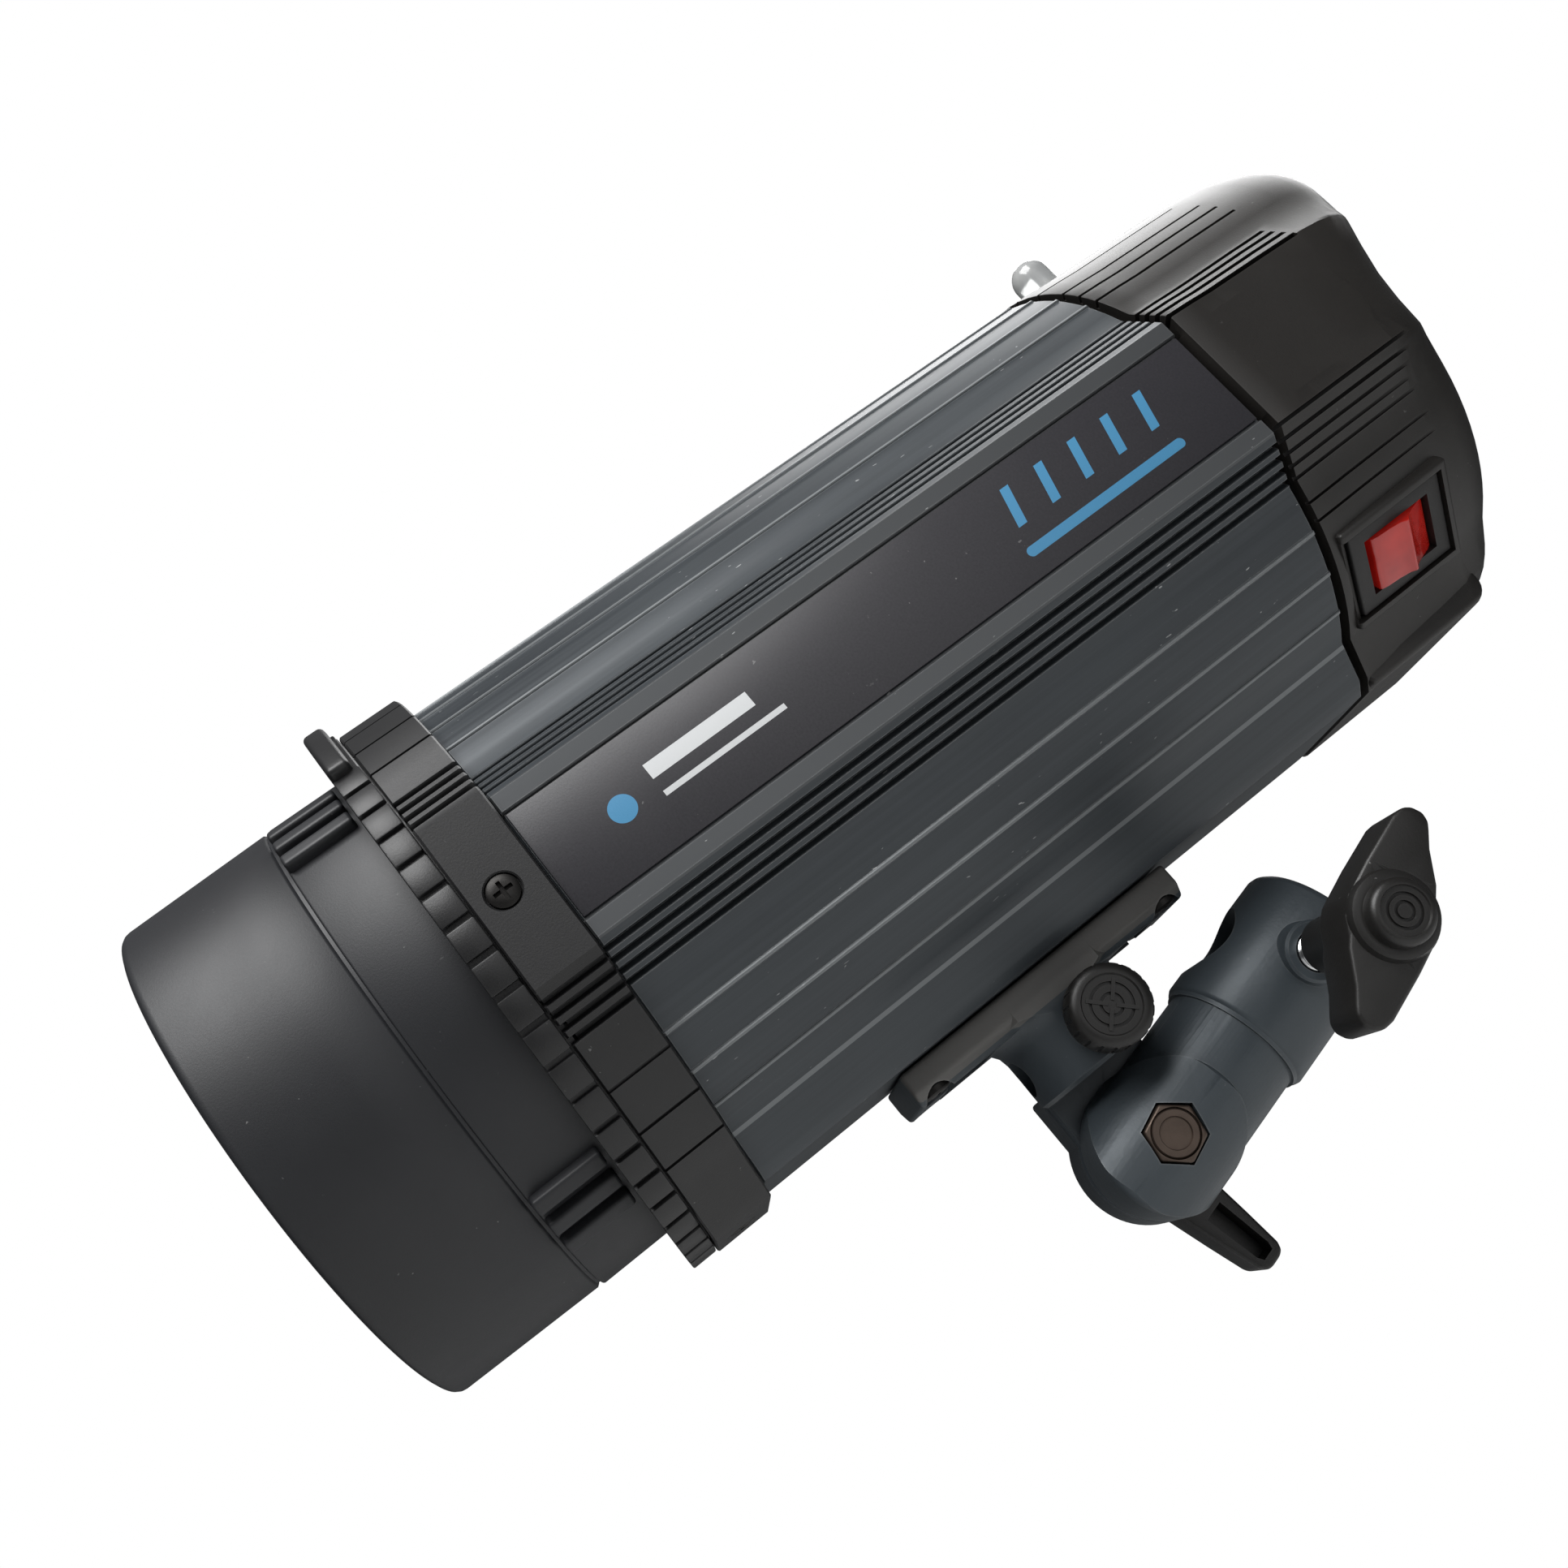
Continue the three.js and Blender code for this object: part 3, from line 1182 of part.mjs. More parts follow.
function tiltBolt() {
  return alongX(hexagon(hexAcross), boltHeadFace - hexPocketDepth + gap, boltHeadFace)
    .add(barX(boltRadius, boltEnd, boltHeadFace - 1));
}

// A point-symmetric wing: each arm has one straight side and one hollow side.
function wingOutline() {
  const arm = [[0, wingHub], [wingReach * 0.85, wingHub * 0.62], [wingReach, wingHub * 0.32], [wingReach, -0.3],
    [wingReach * 0.86, -1.6], [wingReach * 0.55, -wingHub * 0.5], [wingHub * 0.78, -wingHub * 0.63],
    [wingHub * 0.4, -wingHub * 0.92]];
  return [...arm, ...arm.map(([u, v]) => [-u, -v])].reverse();
}

function lockHandle() {
  const wing = alongX(wingOutline(), wingBack, wingFront).rotate([wingTurn, 0, 0]);
  const handle = wing.add(barX(lockShankRadius, lockHandleBack, wingBack + 1, 0, 0))
    .add(barX(handleDiscRadius, wingFront - 1, handleDiscFace, 0, 0, medium))
    .add(barX(wingHub - 0.6, wingBack + 0.5, wingFront + 1.5, 0, 0, medium));
  return placed(handle.subtract(barX(lockScrewRadius + gap, lockHandleBack - 1, wingFront - 4, 0, 0)), 0, lockTwist,
    [0, lockReach, 0]);
}

function lockScrew() {
  return placed(barX(lockScrewRadius, lockScrewTip, wingFront - 4 - gap, 0, 0), 0, lockTwist, [0, lockReach, 0]);
}

function tiltLever() {
  const near = knuckleFar - gap;
  const armNear = leverBack + leverThickness;
  const arm = alongX([[-leverRootHalf, 0], [leverRootHalf, 0], [leverTipHalf, -leverReach + 1.5],
    [leverTipHalf - 1.5, -leverReach], [-leverTipHalf + 1.5, -leverReach], [-leverTipHalf, -leverReach + 1.5]].reverse(),
  leverBack, armNear);
  const pocket = alongX([[-2, -leverReach + 13.5], [2, -leverReach + 13.5], [1.6, -leverReach + 2.2],
    [-1.6, -leverReach + 2.2]].reverse(), armNear - 6, armNear + 1);
  const lever = arm.subtract(pocket).add(barX(leverHubRadius, leverBack, near, 0, 0, medium));
  return lever.subtract(barX(boltRadius + gap, boltEnd - gap, near + 1)).rotate([leverTurn - foldAngle, 0, 0]);
}

add('stand_receiver', standReceiver(), 'castPaint', receiver);
add('tilt_bolt', tiltBolt(), 'brownSteel', receiver);
add('tilt_lever', tiltLever(), 'knobPlastic', receiver);
add('stand_lock_screw', lockScrew(), 'chrome', receiver);
add('stand_lock_handle', lockHandle(), 'knobPlastic', receiver);

// ---------------------------------------------------------------- origin at the stand socket's mouth

const foldedMouth = new THREE.Vector3(0, socketReach, 0).applyAxisAngle(unitX, foldAngle * degrees);
light.position.set(0, -pivotY - foldedMouth.y, -pivotZ - foldedMouth.z);

const strobe = new THREE.Group();
strobe.add(light);

export default strobe;
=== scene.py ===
"""A studio flash head on its folding stand bracket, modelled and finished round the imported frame.

Sizes are in millimetres about the light's optical axis, as a maker would draw it: y runs back from the
front of the protective cap, x to the side with the power switch, z up. at() turns them into the frame.
"""

import math

import bpy
from mathutils import Matrix, Vector


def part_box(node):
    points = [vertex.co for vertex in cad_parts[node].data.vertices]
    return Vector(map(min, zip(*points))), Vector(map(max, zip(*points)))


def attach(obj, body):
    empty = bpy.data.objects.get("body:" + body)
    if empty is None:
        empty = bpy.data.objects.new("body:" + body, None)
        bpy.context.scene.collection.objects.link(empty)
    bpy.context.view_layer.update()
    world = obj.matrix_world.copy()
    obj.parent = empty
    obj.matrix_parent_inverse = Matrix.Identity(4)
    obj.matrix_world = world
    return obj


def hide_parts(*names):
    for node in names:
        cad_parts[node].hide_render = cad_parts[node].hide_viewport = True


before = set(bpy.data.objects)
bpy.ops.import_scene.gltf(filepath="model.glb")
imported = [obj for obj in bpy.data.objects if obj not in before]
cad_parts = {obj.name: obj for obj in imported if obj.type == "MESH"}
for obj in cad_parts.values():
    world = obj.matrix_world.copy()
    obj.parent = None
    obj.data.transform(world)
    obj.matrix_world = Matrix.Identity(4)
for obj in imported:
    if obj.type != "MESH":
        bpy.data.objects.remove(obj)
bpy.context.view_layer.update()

MM = 0.001
X, Y, Z = Vector((1, 0, 0)), Vector((0, 1, 0)), Vector((0, 0, 1))
cap_low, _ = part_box("front_cap")
bulb_low, bulb_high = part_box("modelling_bulb")
HOME = Vector(((bulb_low[0] + bulb_high[0]) / 2, cap_low[1], (bulb_low[2] + bulb_high[2]) / 2))
PIVOT = (0, 133, -100.7)
FOLD = math.radians(12.3)


def at(x, y, z):
    """A place in millimetres about the optical axis, as a point of the frame."""
    return HOME + Vector((x, y, z)) * MM


# ------------------------------------------------------------------ the modelling bench


def rest():
    if bpy.context.object and bpy.context.object.mode != "OBJECT":
        bpy.ops.object.mode_set(mode="OBJECT")
    bpy.ops.object.select_all(action="DESELECT")


def take(*pieces):
    rest()
    for piece in pieces:
        piece.select_set(True)
    bpy.context.view_layer.objects.active = pieces[0]
    return pieces[0]


def edit(piece, kind="VERT"):
    take(piece)
    bpy.ops.object.mode_set(mode="EDIT")
    bpy.ops.mesh.select_mode(type=kind)
    bpy.ops.mesh.select_all(action="SELECT")


def tidy(piece, distance=2e-6):
    """Merges doubled corners and turns the faces outwards."""
    edit(piece)
    bpy.ops.mesh.remove_doubles(threshold=distance)
    bpy.ops.mesh.normals_make_consistent(inside=False)
    rest()
    return piece


def pen(name, points, closed):
    """A line of edges through the points, drawn out corner by corner."""
    rest()
    bpy.ops.mesh.primitive_plane_add(size=0.01, location=points[0])
    piece = bpy.context.object
    piece.name = name
    bpy.ops.object.transform_apply(location=True, rotation=True, scale=True)
    bpy.ops.object.mode_set(mode="EDIT")
    bpy.ops.mesh.select_mode(type="VERT")
    bpy.ops.mesh.select_all(action="SELECT")
    bpy.ops.mesh.merge(type="CENTER")
    last = points[0]
    for point in points[1:]:
        bpy.ops.mesh.extrude_vertices_move(TRANSFORM_OT_translate={"value": point - last})
        last = point
    if closed:
        bpy.ops.object.mode_set(mode="OBJECT")
        for corner in piece.data.vertices:
            corner.select = corner.index in (0, len(points) - 1)
        bpy.ops.object.mode_set(mode="EDIT")
        bpy.ops.mesh.edge_face_add()
    return piece


def turned(name, profile, origin=(0, 0, 0), along=Y, out=Z, steps=64, ring=False):
    """A profile of (radius, distance along) points turned about a line through origin."""
    base = at(*origin)
    points = [base + (out * radius + along * reach) * MM for radius, reach in profile]
    piece = pen(name, points, ring)
    bpy.ops.mesh.select_all(action="SELECT")
    bpy.ops.mesh.spin(steps=steps, angle=2 * math.pi, center=base, axis=along)
    return tidy(piece)


def slab(name, outline, origin, u, v, depth):
    """An outline of (u, v) points filled and drawn out by the depth vector, all in millimetres."""
    base = at(*origin)
    points = [base + (u * a + v * b) * MM for a, b in outline]
    piece = pen(name, points, True)
    bpy.ops.mesh.select_all(action="SELECT")
    bpy.ops.mesh.edge_face_add()
    bpy.ops.mesh.extrude_region_move(TRANSFORM_OT_translate={"value": depth * MM})
    return tidy(piece)


def rod(name, radius, start, end, origin=(0, 0, 0), along=Y, out=Z, steps=32, edge=0.3):
    """A round bar with eased edges."""
    profile = [(0, start), (radius - edge, start), (radius, start + edge),
               (radius, end - edge), (radius - edge, end), (0, end)]
    return turned(name, profile, origin, along, out, steps)


def brick(name, low, high):
    (x0, y0, z0), (x1, y1, z1) = low, high
    return slab(name, [(x0, y0), (x1, y0), (x1, y1), (x0, y1)], (0, 0, z0), X, Y, Z * (z1 - z0))


def carve(piece, *tools, how="DIFFERENCE"):
    """Cuts, joins or keeps the common part of a piece and each tool, and uses the tools up."""
    for tool in tools:
        for shape in (piece, tool):
            edit(shape, "FACE")
            bpy.ops.mesh.quads_convert_to_tris(quad_method="BEAUTY", ngon_method="BEAUTY")
        cut = piece.modifiers.new("cut", "BOOLEAN")
        cut.operation = how
        cut.solver = "EXACT"
        cut.object = tool
        take(piece)
        bpy.ops.object.modifier_apply(modifier=cut.name)
        spent = tool.data
        bpy.data.objects.remove(tool)
        bpy.data.meshes.remove(spent)
    return piece


def join(piece, *others):
    return carve(piece, *others, how="UNION")


def gather(*pieces):
    """Several loose shapes as one object."""
    take(*pieces)
    bpy.ops.object.join()
    return bpy.context.object


def turn(piece, angle, axis_name, centre):
    """Turns a piece by the right-hand rule about a frame axis through centre."""
    take(piece)
    bpy.ops.transform.rotate(value=-angle, orient_axis=axis_name, orient_type="GLOBAL",
                             center_override=centre)
    bpy.ops.object.transform_apply(location=True, rotation=True, scale=True)
    return piece


def copy_of(piece, name):
    take(piece)
    bpy.ops.object.duplicate()
    twin = bpy.context.object
    twin.name = name
    return twin


def round_edges(piece, width, segments=2, limit=30, clean=True):
    """Eases every edge sharper than the limit."""
    if clean:
        edit(piece)
        bpy.ops.mesh.remove_doubles(threshold=2e-6)
        bpy.ops.mesh.dissolve_limited(angle_limit=math.radians(0.6))
        rest()
    ease = piece.modifiers.new("ease", "BEVEL")
    ease.width = width * MM
    ease.segments = segments
    ease.limit_method = "ANGLE"
    ease.angle_limit = math.radians(limit)
    ease.use_clamp_overlap = True
    ease.miter_outer = "MITER_ARC"
    take(piece)
    bpy.ops.object.modifier_apply(modifier=ease.name)
    return piece


def done(piece, name, body, finish, stands_for=(), smooth=40):
    """Shades the piece, gives it its finish and hangs it on a body."""
    take(piece)
    bpy.ops.object.shade_smooth_by_angle(angle=math.radians(smooth))
    piece.name = name
    piece.data.name = name
    piece.data.materials.clear()
    piece.data.materials.append(finish)
    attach(piece, body)
    if stands_for:
        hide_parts(*stands_for)
    return piece


def arc(radius, start, end, steps):
    """Points on a circle, from one angle to another in degrees."""
    return [(radius * math.cos(math.radians(start + (end - start) * i / steps)),
             radius * math.sin(math.radians(start + (end - start) * i / steps)))
            for i in range(steps + 1)]


# ------------------------------------------------------------------ finishes


class Value:
    """A node's output that can be used in sums."""

    def __init__(self, tree, socket):
        self.tree = tree
        self.socket = socket

    def work(self, operation, *items, clamp=False):
        step = self.tree.nodes.new("ShaderNodeMath")
        step.operation = operation
        step.use_clamp = clamp
        for slot, item in zip(step.inputs, items):
            if isinstance(item, Value):
                self.tree.links.new(item.socket, slot)
            else:
                slot.default_value = item
        return Value(self.tree, step.outputs[0])

    def sum(self, operation, *others, clamp=False):
        return self.work(operation, self, *others, clamp=clamp)

    def __add__(self, other):
        return self.sum("ADD", other)

    __radd__ = __add__

    def __sub__(self, other):
        return self.sum("SUBTRACT", other)

    def __rsub__(self, other):
        return self.work("SUBTRACT", other, self)

    def __mul__(self, other):
        return self.sum("MULTIPLY", other)

    __rmul__ = __mul__

    def __truediv__(self, other):
        return self.sum("DIVIDE", other)

    def above(self, level):
        return self.sum("GREATER_THAN", level)

    def below(self, level):
        return self.sum("LESS_THAN", level)

    def size(self):
        return self.sum("ABSOLUTE")

    def at_least(self, level):
        return self.sum("MAXIMUM", level)

    def at_most(self, level):
        return self.sum("MINIMUM", level)

    def between(self, low, high):
        return self.above(low) * self.below(high)

    def ramp(self, low, high):
        """0 at low and 1 at high, straight between."""
        return ((self - low) * (1 / (high - low))).sum("ADD", 0.0, clamp=True)


class Finish:
    """A material built from its shader up."""

    def __init__(self, name):
        self.material = bpy.data.materials.new(name)
        self.material.use_nodes = True
        self.tree = self.material.node_tree
        self.tree.nodes.clear()
        self.out = self.tree.nodes.new("ShaderNodeOutputMaterial")
        self.shader = self.tree.nodes.new("ShaderNodeBsdfPrincipled")
        self.tree.links.new(self.shader.outputs[0], self.out.inputs[0])
        self.place = self.node("ShaderNodeTexCoord", take="Object")

    def node(self, kind, settings=None, take=0, **sockets):
        made = self.tree.nodes.new(kind)
        for key, value in (settings or {}).items():
            if key == "stops":
                while len(made.color_ramp.elements) > 1:
                    made.color_ramp.elements.remove(made.color_ramp.elements[-1])
                made.color_ramp.elements[0].position = value[0][0]
                made.color_ramp.elements[0].color = (*value[0][1], 1)
                for spot, colour in value[1:]:
                    made.color_ramp.elements.new(spot).color = (*colour, 1)
            else:
                setattr(made, key, value)
        for key, value in sockets.items():
            socket = made.inputs[int(key[1:])] if key[0] == "i" and key[1:].isdigit() else made.inputs[key]
            if isinstance(value, Value):
                self.tree.links.new(value.socket, socket)
            else:
                socket.default_value = value
        return Value(self.tree, made.outputs[take])

    def put(self, **sockets):
        """Sets the shader's sockets: Base_Color=..., Roughness=..."""
        for key, value in sockets.items():
            socket = self.shader.inputs[key.replace("_", " ")]
            if isinstance(value, Value):
                self.tree.links.new(value.socket, socket)
            else:
                socket.default_value = (*value, 1) if isinstance(value, tuple) and len(value) == 3 else value
        return self

    def stretched(self, scale, centre=None, turn=(0, 0, 0)):
        shift = centre or Vector((0, 0, 0))
        moved = self.node("ShaderNodeVectorMath", {"operation": "SUBTRACT"}, i0=self.place, i1=shift)
        return self.node("ShaderNodeMapping", {"vector_type": "POINT"}, Vector=moved, Rotation=turn, Scale=scale)

    def noise(self, scale, detail=4.0, roughness=0.55, where=None, distortion=0.0):
        return self.node("ShaderNodeTexNoise", Vector=where or self.place, Scale=scale, Detail=detail,
                         Roughness=roughness, Distortion=distortion)

    def cells(self, scale, where=None):
        return self.node("ShaderNodeTexVoronoi", {"feature": "F1"}, Vector=where or self.place, Scale=scale)

    def mix(self, share, one, two):
        return self.node("ShaderNodeMix", {"data_type": "RGBA"}, take=2, i0=share,
                         i6=one if isinstance(one, Value) else (*one, 1),
                         i7=two if isinstance(two, Value) else (*two, 1))

    def bump(self, height, strength, distance):
        return self.node("ShaderNodeBump", Height=height, Strength=strength, Distance=distance)

    def axes(self, where=None):
        apart = self.tree.nodes.new("ShaderNodeSeparateXYZ")
        self.tree.links.new((where or self.place).socket, apart.inputs[0])
        return [Value(self.tree, socket) for socket in apart.outputs]

    def worn(self, reach, strength=1.0):
        """1 where an outer edge is rubbed, 0 on the flat."""
        soft = self.node("ShaderNodeBevel", {"samples": 4}, Radius=reach * MM)
        flat = self.node("ShaderNodeNewGeometry", take="Normal")
        same = self.node("ShaderNodeVectorMath", {"operation": "DOT_PRODUCT"}, take="Value", i0=soft, i1=flat)
        broken = self.noise(900, 3)
        return ((1 - same) * 6 * strength * broken).at_most(1.0)


def shade(red, green, blue):
    """A colour as seen on a colour chart, 0 to 255, as the shader wants it."""
    def one(c):
        c = c / 255
        return c / 12.92 if c <= 0.04045 else ((c + 0.055) / 1.055) ** 2.4
    return (one(red), one(green), one(blue))


def dust(f, colour, amount, scale=700):
    """Tiny pale specks scattered over a colour."""
    speck = f.noise(scale, 2, 0.6).ramp(0.73, 0.77) * f.noise(60, 2).ramp(0.5, 0.62)
    return f.mix(speck * amount, colour, shade(190, 190, 188))


def moulded(name, colour, roughness=0.5, grain=0.35, grain_scale=2600, wear=0.25, coat=0.0):
    """Moulded plastic with a fine spark-eroded grain, uneven sheen, rubbed edges and a little dust."""
    f = Finish(name)
    cloud = f.noise(35, 5)
    tone = f.mix(cloud.ramp(0.3, 0.7), tuple(c * 0.86 for c in colour), tuple(c * 1.14 for c in colour))
    rubbed = f.mix(f.worn(0.5) * wear, tone, tuple(min(1, c * 3.2 + 0.02) for c in colour))
    fine = f.noise(grain_scale, 3, 0.6)
    smear = f.noise(18, 4, 0.6, distortion=0.6)
    f.put(Base_Color=dust(f, rubbed, 0.25), Roughness=(smear - 0.5) * 0.22 + fine * 0.08 + (roughness - 0.04),
          Metallic=0.0, Normal=f.bump(fine, grain, 0.00008), IOR=1.48)
    if coat:
        f.put(Coat_Weight=coat, Coat_Roughness=0.3)
    return f.material


def painted(name, colour, roughness=0.42, orange=0.5, wear=0.5, metallic=0.25):
    """Satin enamel over a casting: a slight orange peel, fine sparkle and bright metal at rubbed edges."""
    f = Finish(name)
    cloud = f.noise(28, 5)
    sparkle = f.noise(5200, 2, 0.7)
    tone = f.mix(cloud.ramp(0.3, 0.7), tuple(c * 0.88 for c in colour), tuple(c * 1.12 for c in colour))
    lit = f.mix(sparkle.ramp(0.62, 0.8) * 0.35, tone, tuple(c * 2.0 for c in colour))
    edge = f.worn(0.6) * wear
    f.put(Base_Color=dust(f, f.mix(edge, lit, shade(150, 152, 152)), 0.25, 760),
          Roughness=(f.noise(22, 4, 0.6, distortion=0.5) - 0.5) * 0.2 + (sparkle * 0.06 + roughness),
          Metallic=edge * 0.5 + metallic,
          Normal=f.bump(f.noise(420, 3, 0.5) + f.noise(1500, 2) * 0.3, orange, 0.00012))
    return f.material


def bright(name, colour, roughness, lines=0.25, axis="x", metallic=1.0):
    """Turned or drawn metal with fine lines and a few dull spots."""
    f = Finish(name)
    scale = {"x": (60, 2600, 2600), "y": (2600, 60, 2600), "z": (2600, 2600, 60)}[axis]
    grain = f.noise(1.0, 3, 0.6, where=f.stretched(scale))
    spots = f.noise(220, 4, 0.6)
    f.put(Base_Color=f.mix(spots.ramp(0.45, 0.75) * 0.5, colour, tuple(c * 0.6 for c in colour)),
          Roughness=grain * 0.14 + spots * 0.1 + (roughness - 0.08), Metallic=metallic,
          Normal=f.bump(grain, lines, 0.00004))
    return f.material


def tube_finish():
    """Extruded tube: blue-grey satin with drawn lines along it, the lips beside the labels left paler, and a painted
    highlight along the tops of the beads.
    """
    f = Finish("tube_extrusion_paint")
    x, y, z = f.axes(f.stretched((1000, 1000, 1000), HOME))
    drawn = f.noise(1.0, 4, 0.65, where=f.stretched((900, 12, 900)))
    fine = f.noise(1.0, 2, 0.6, where=f.stretched((4200, 45, 4200)))
    cloud = f.noise(16, 4)
    base = f.mix(cloud.ramp(0.3, 0.7), shade(50, 54, 58), shade(58, 63, 67))
    lined = f.mix(drawn.ramp(0.35, 0.75) * 0.45, base, shade(72, 77, 81))
    lip = z.size().between(11.2, 15.6) * x.size().above(59.0)
    away = (x * x + z * z).sum("SQRT")
    # painted highlight: the tops of the beads above and below the labels are coloured paler, standing in for the light
    # they catch
    painted_ridge_highlight = away.above(57.14) * away.below(57.6) * z.size().above(24.5)
    lips_and_painted_ridge_highlights = f.mix(painted_ridge_highlight * 0.75, f.mix(lip, lined, shade(84, 86, 88)), shade(124, 128, 130))
    scratch_field = f.noise(1.0, 1, 0.5, where=f.stretched((1500, 420, 1500), turn=(0.2, 0.1, 0.05)))
    scratch = scratch_field.ramp(0.75, 0.77) * f.noise(40, 2).ramp(0.52, 0.6)
    edge = f.worn(0.35) * 0.7
    toned = f.mix((edge + scratch * 0.8).at_most(1.0), lips_and_painted_ridge_highlights, shade(170, 172, 172))
    f.put(Base_Color=toned, Roughness=drawn * 0.12 + cloud * 0.08 + 0.3, Metallic=lip * 0.35 + 0.3,
          Normal=f.bump(drawn * 0.6 + fine * 0.4, 0.18, 0.00006))
    return f.material


def label_finish():
    """Printed label: charcoal film with a plain blue dot, two plain white bars and slanting blue bars."""
    f = Finish("label_film")
    x, y, z = f.axes(f.stretched((1000, 1000, 1000), HOME))
    paper = f.mix(f.noise(2200, 2, 0.6).ramp(0.3, 0.7), shade(42, 41, 45), shade(49, 48, 52))
    along, up = y - 83.3, z
    away = (along * along + up * up).sum("SQRT")
    blue = away.below(2.6)
    white = y.between(90.5, 112.5) * (z - 2.6).size().below(1.55) + y.between(90.5, 116.5) * (z + 2.2).size().below(0.55)
    lean = y - z * 0.28
    beat = (lean - 171.5).sum("MODULO", 8.2)
    strokes = beat.between(0.0, 2.0) * lean.between(171.5, 209.5) * (z - 2.9).size().below(4.0)
    bar_end = ((y - 188.2).size() - 18.2).at_least(0.0)
    bar = (bar_end * bar_end + (z + 6.1) * (z + 6.1)).sum("SQRT").below(1.05)
    sky = (blue + strokes + bar).at_most(1.0)
    inked = f.mix(sky, paper, shade(74, 138, 178))
    printed = f.mix(white.at_most(1.0), inked, shade(205, 207, 208))
    cloud = f.noise(30, 4, 0.6, distortion=0.5)
    f.put(Base_Color=dust(f, printed, 0.3, 640), Roughness=cloud * 0.16 + 0.34 - sky * 0.05, Metallic=0.0,
          Normal=f.bump(f.noise(2600, 2), 0.2, 0.00005), IOR=1.5)
    return f.material


def red_lens_painted_glow():
    """Clear red rocker that lets some light through, with a faint painted glow over all of it."""
    f = Finish("red_rocker_plastic_painted_glow")
    cloud = f.noise(90, 3)
    # painted glow: a weak emission makes the whole red piece shine as if lit from within
    f.put(Base_Color=f.mix(cloud.ramp(0.3, 0.7), shade(150, 16, 12), shade(206, 44, 34)),
          Roughness=cloud * 0.12 + 0.12, IOR=1.5, Transmission_Weight=0.25,
          Emission_Color=f.mix(cloud, shade(140, 8, 6), shade(210, 40, 30)), Emission_Strength=0.12,
          Coat_Weight=0.6, Coat_Roughness=0.08,
          Normal=f.bump(f.noise(1.0, 1, where=f.stretched((900, 80, 900))), 0.15, 0.0001))
    return f.material


def dome_finish():
    f = Finish("milky_dome_plastic")
    cloud = f.noise(120, 3)
    f.put(Base_Color=f.mix(cloud.ramp(0.3, 0.7), shade(214, 216, 216), shade(240, 241, 240)),
          Roughness=cloud * 0.1 + 0.14, Transmission_Weight=0.55, IOR=1.46, Coat_Weight=0.5)
    return f.material


def glass_finish(name, colour, roughness, transmission):
    f = Finish(name)
    cloud = f.noise(60, 3)
    f.put(Base_Color=f.mix(cloud.ramp(0.2, 0.8), colour, tuple(min(1, c * 1.05) for c in colour)),
          Roughness=cloud * 0.06 + roughness, Transmission_Weight=transmission, IOR=1.5)
    return f.material


def board_finish():
    f = Finish("circuit_board_lacquer")
    x, y, z = f.axes(f.stretched((1000, 1000, 1000), HOME))
    tracks = ((x * 0.9).sum("SINE") * (y * 0.55).sum("SINE")).above(0.72)
    pads = f.cells(320).below(0.16)
    base = f.mix(tracks, shade(22, 78, 42), shade(38, 104, 56))
    f.put(Base_Color=f.mix(pads, base, shade(176, 172, 160)), Metallic=pads * 0.8, Roughness=0.35,
          Normal=f.bump(tracks + pads, 0.4, 0.0001))
    return f.material


def rail_finish():
    """The bracket's enamel: blue-grey below, the rail's edge beside the case paler and warmer."""
    f = Finish("rail_enamel")
    x, y, z = f.axes(f.stretched((1000, 1000, 1000), HOME))
    cloud = f.noise(28, 5)
    sparkle = f.noise(5200, 2, 0.7)
    base = f.mix(cloud.ramp(0.3, 0.7), shade(48, 54, 59), shade(57, 64, 69))
    side = z.above(-67.4) * x.size().above(12.4)
    toned = f.mix(side * 0.85, base, shade(92, 90, 87))
    edge = f.worn(0.6) * 0.35
    f.put(Base_Color=dust(f, f.mix(edge, toned, shade(130, 130, 128)), 0.25, 760), Roughness=sparkle * 0.06 + cloud * 0.1 + 0.36,
          Metallic=edge * 0.5 + 0.15, Normal=f.bump(f.noise(420, 3, 0.5) + f.noise(1500, 2) * 0.3, 0.5, 0.00012))
    return f.material


PAINT = tube_finish()
LABEL = label_finish()
RING = moulded("front_ring_plastic", shade(27, 27, 28), 0.44, wear=0.22)
CAP = moulded("cap_plastic", shade(32, 33, 36), 0.5, grain=0.25, wear=0.16)
HOUSING = moulded("rear_housing_plastic", shade(35, 33, 31), 0.42, grain=0.3, wear=0.2)
PANEL = moulded("control_panel_plastic", shade(28, 27, 27), 0.5, grain=0.4, wear=0.2)
CAST = painted("bracket_enamel", shade(64, 71, 76), 0.4, wear=0.3)
RAIL_CAST = rail_finish()
KNOB = moulded("knob_plastic", shade(27, 26, 25), 0.4, grain=0.3, wear=0.22)
DARK_STEEL = bright("blackened_steel", shade(46, 45, 44), 0.4, metallic=0.85)
BROWN_STEEL = bright("browned_steel", shade(92, 80, 72), 0.42, metallic=0.8)
STEEL = bright("zinc_steel", shade(178, 176, 170), 0.32)
CHROME = bright("chrome_stud", shade(226, 227, 228), 0.14, lines=0.1)
ALUMINIUM = bright("mill_aluminium", shade(184, 186, 188), 0.38, axis="y")
NICKEL = bright("nickel_shell", shade(190, 184, 166), 0.3, axis="z")
WINDING = bright("copper_winding", shade(176, 98, 48), 0.35, lines=0.6, axis="x", metallic=0.7)
FERRITE = moulded("ferrite", shade(48, 48, 50), 0.6, grain=0.6)
SLEEVE = moulded("capacitor_sleeve", shade(34, 44, 86), 0.3, grain=0.1)
CERAMIC = moulded("glazed_ceramic", shade(232, 228, 216), 0.25, grain=0.1, wear=0.0)
WHITE = moulded("white_enamel", shade(226, 226, 222), 0.3, grain=0.15, wear=0.0)
NYLON = moulded("natural_nylon", shade(206, 200, 184), 0.5, wear=0.0)
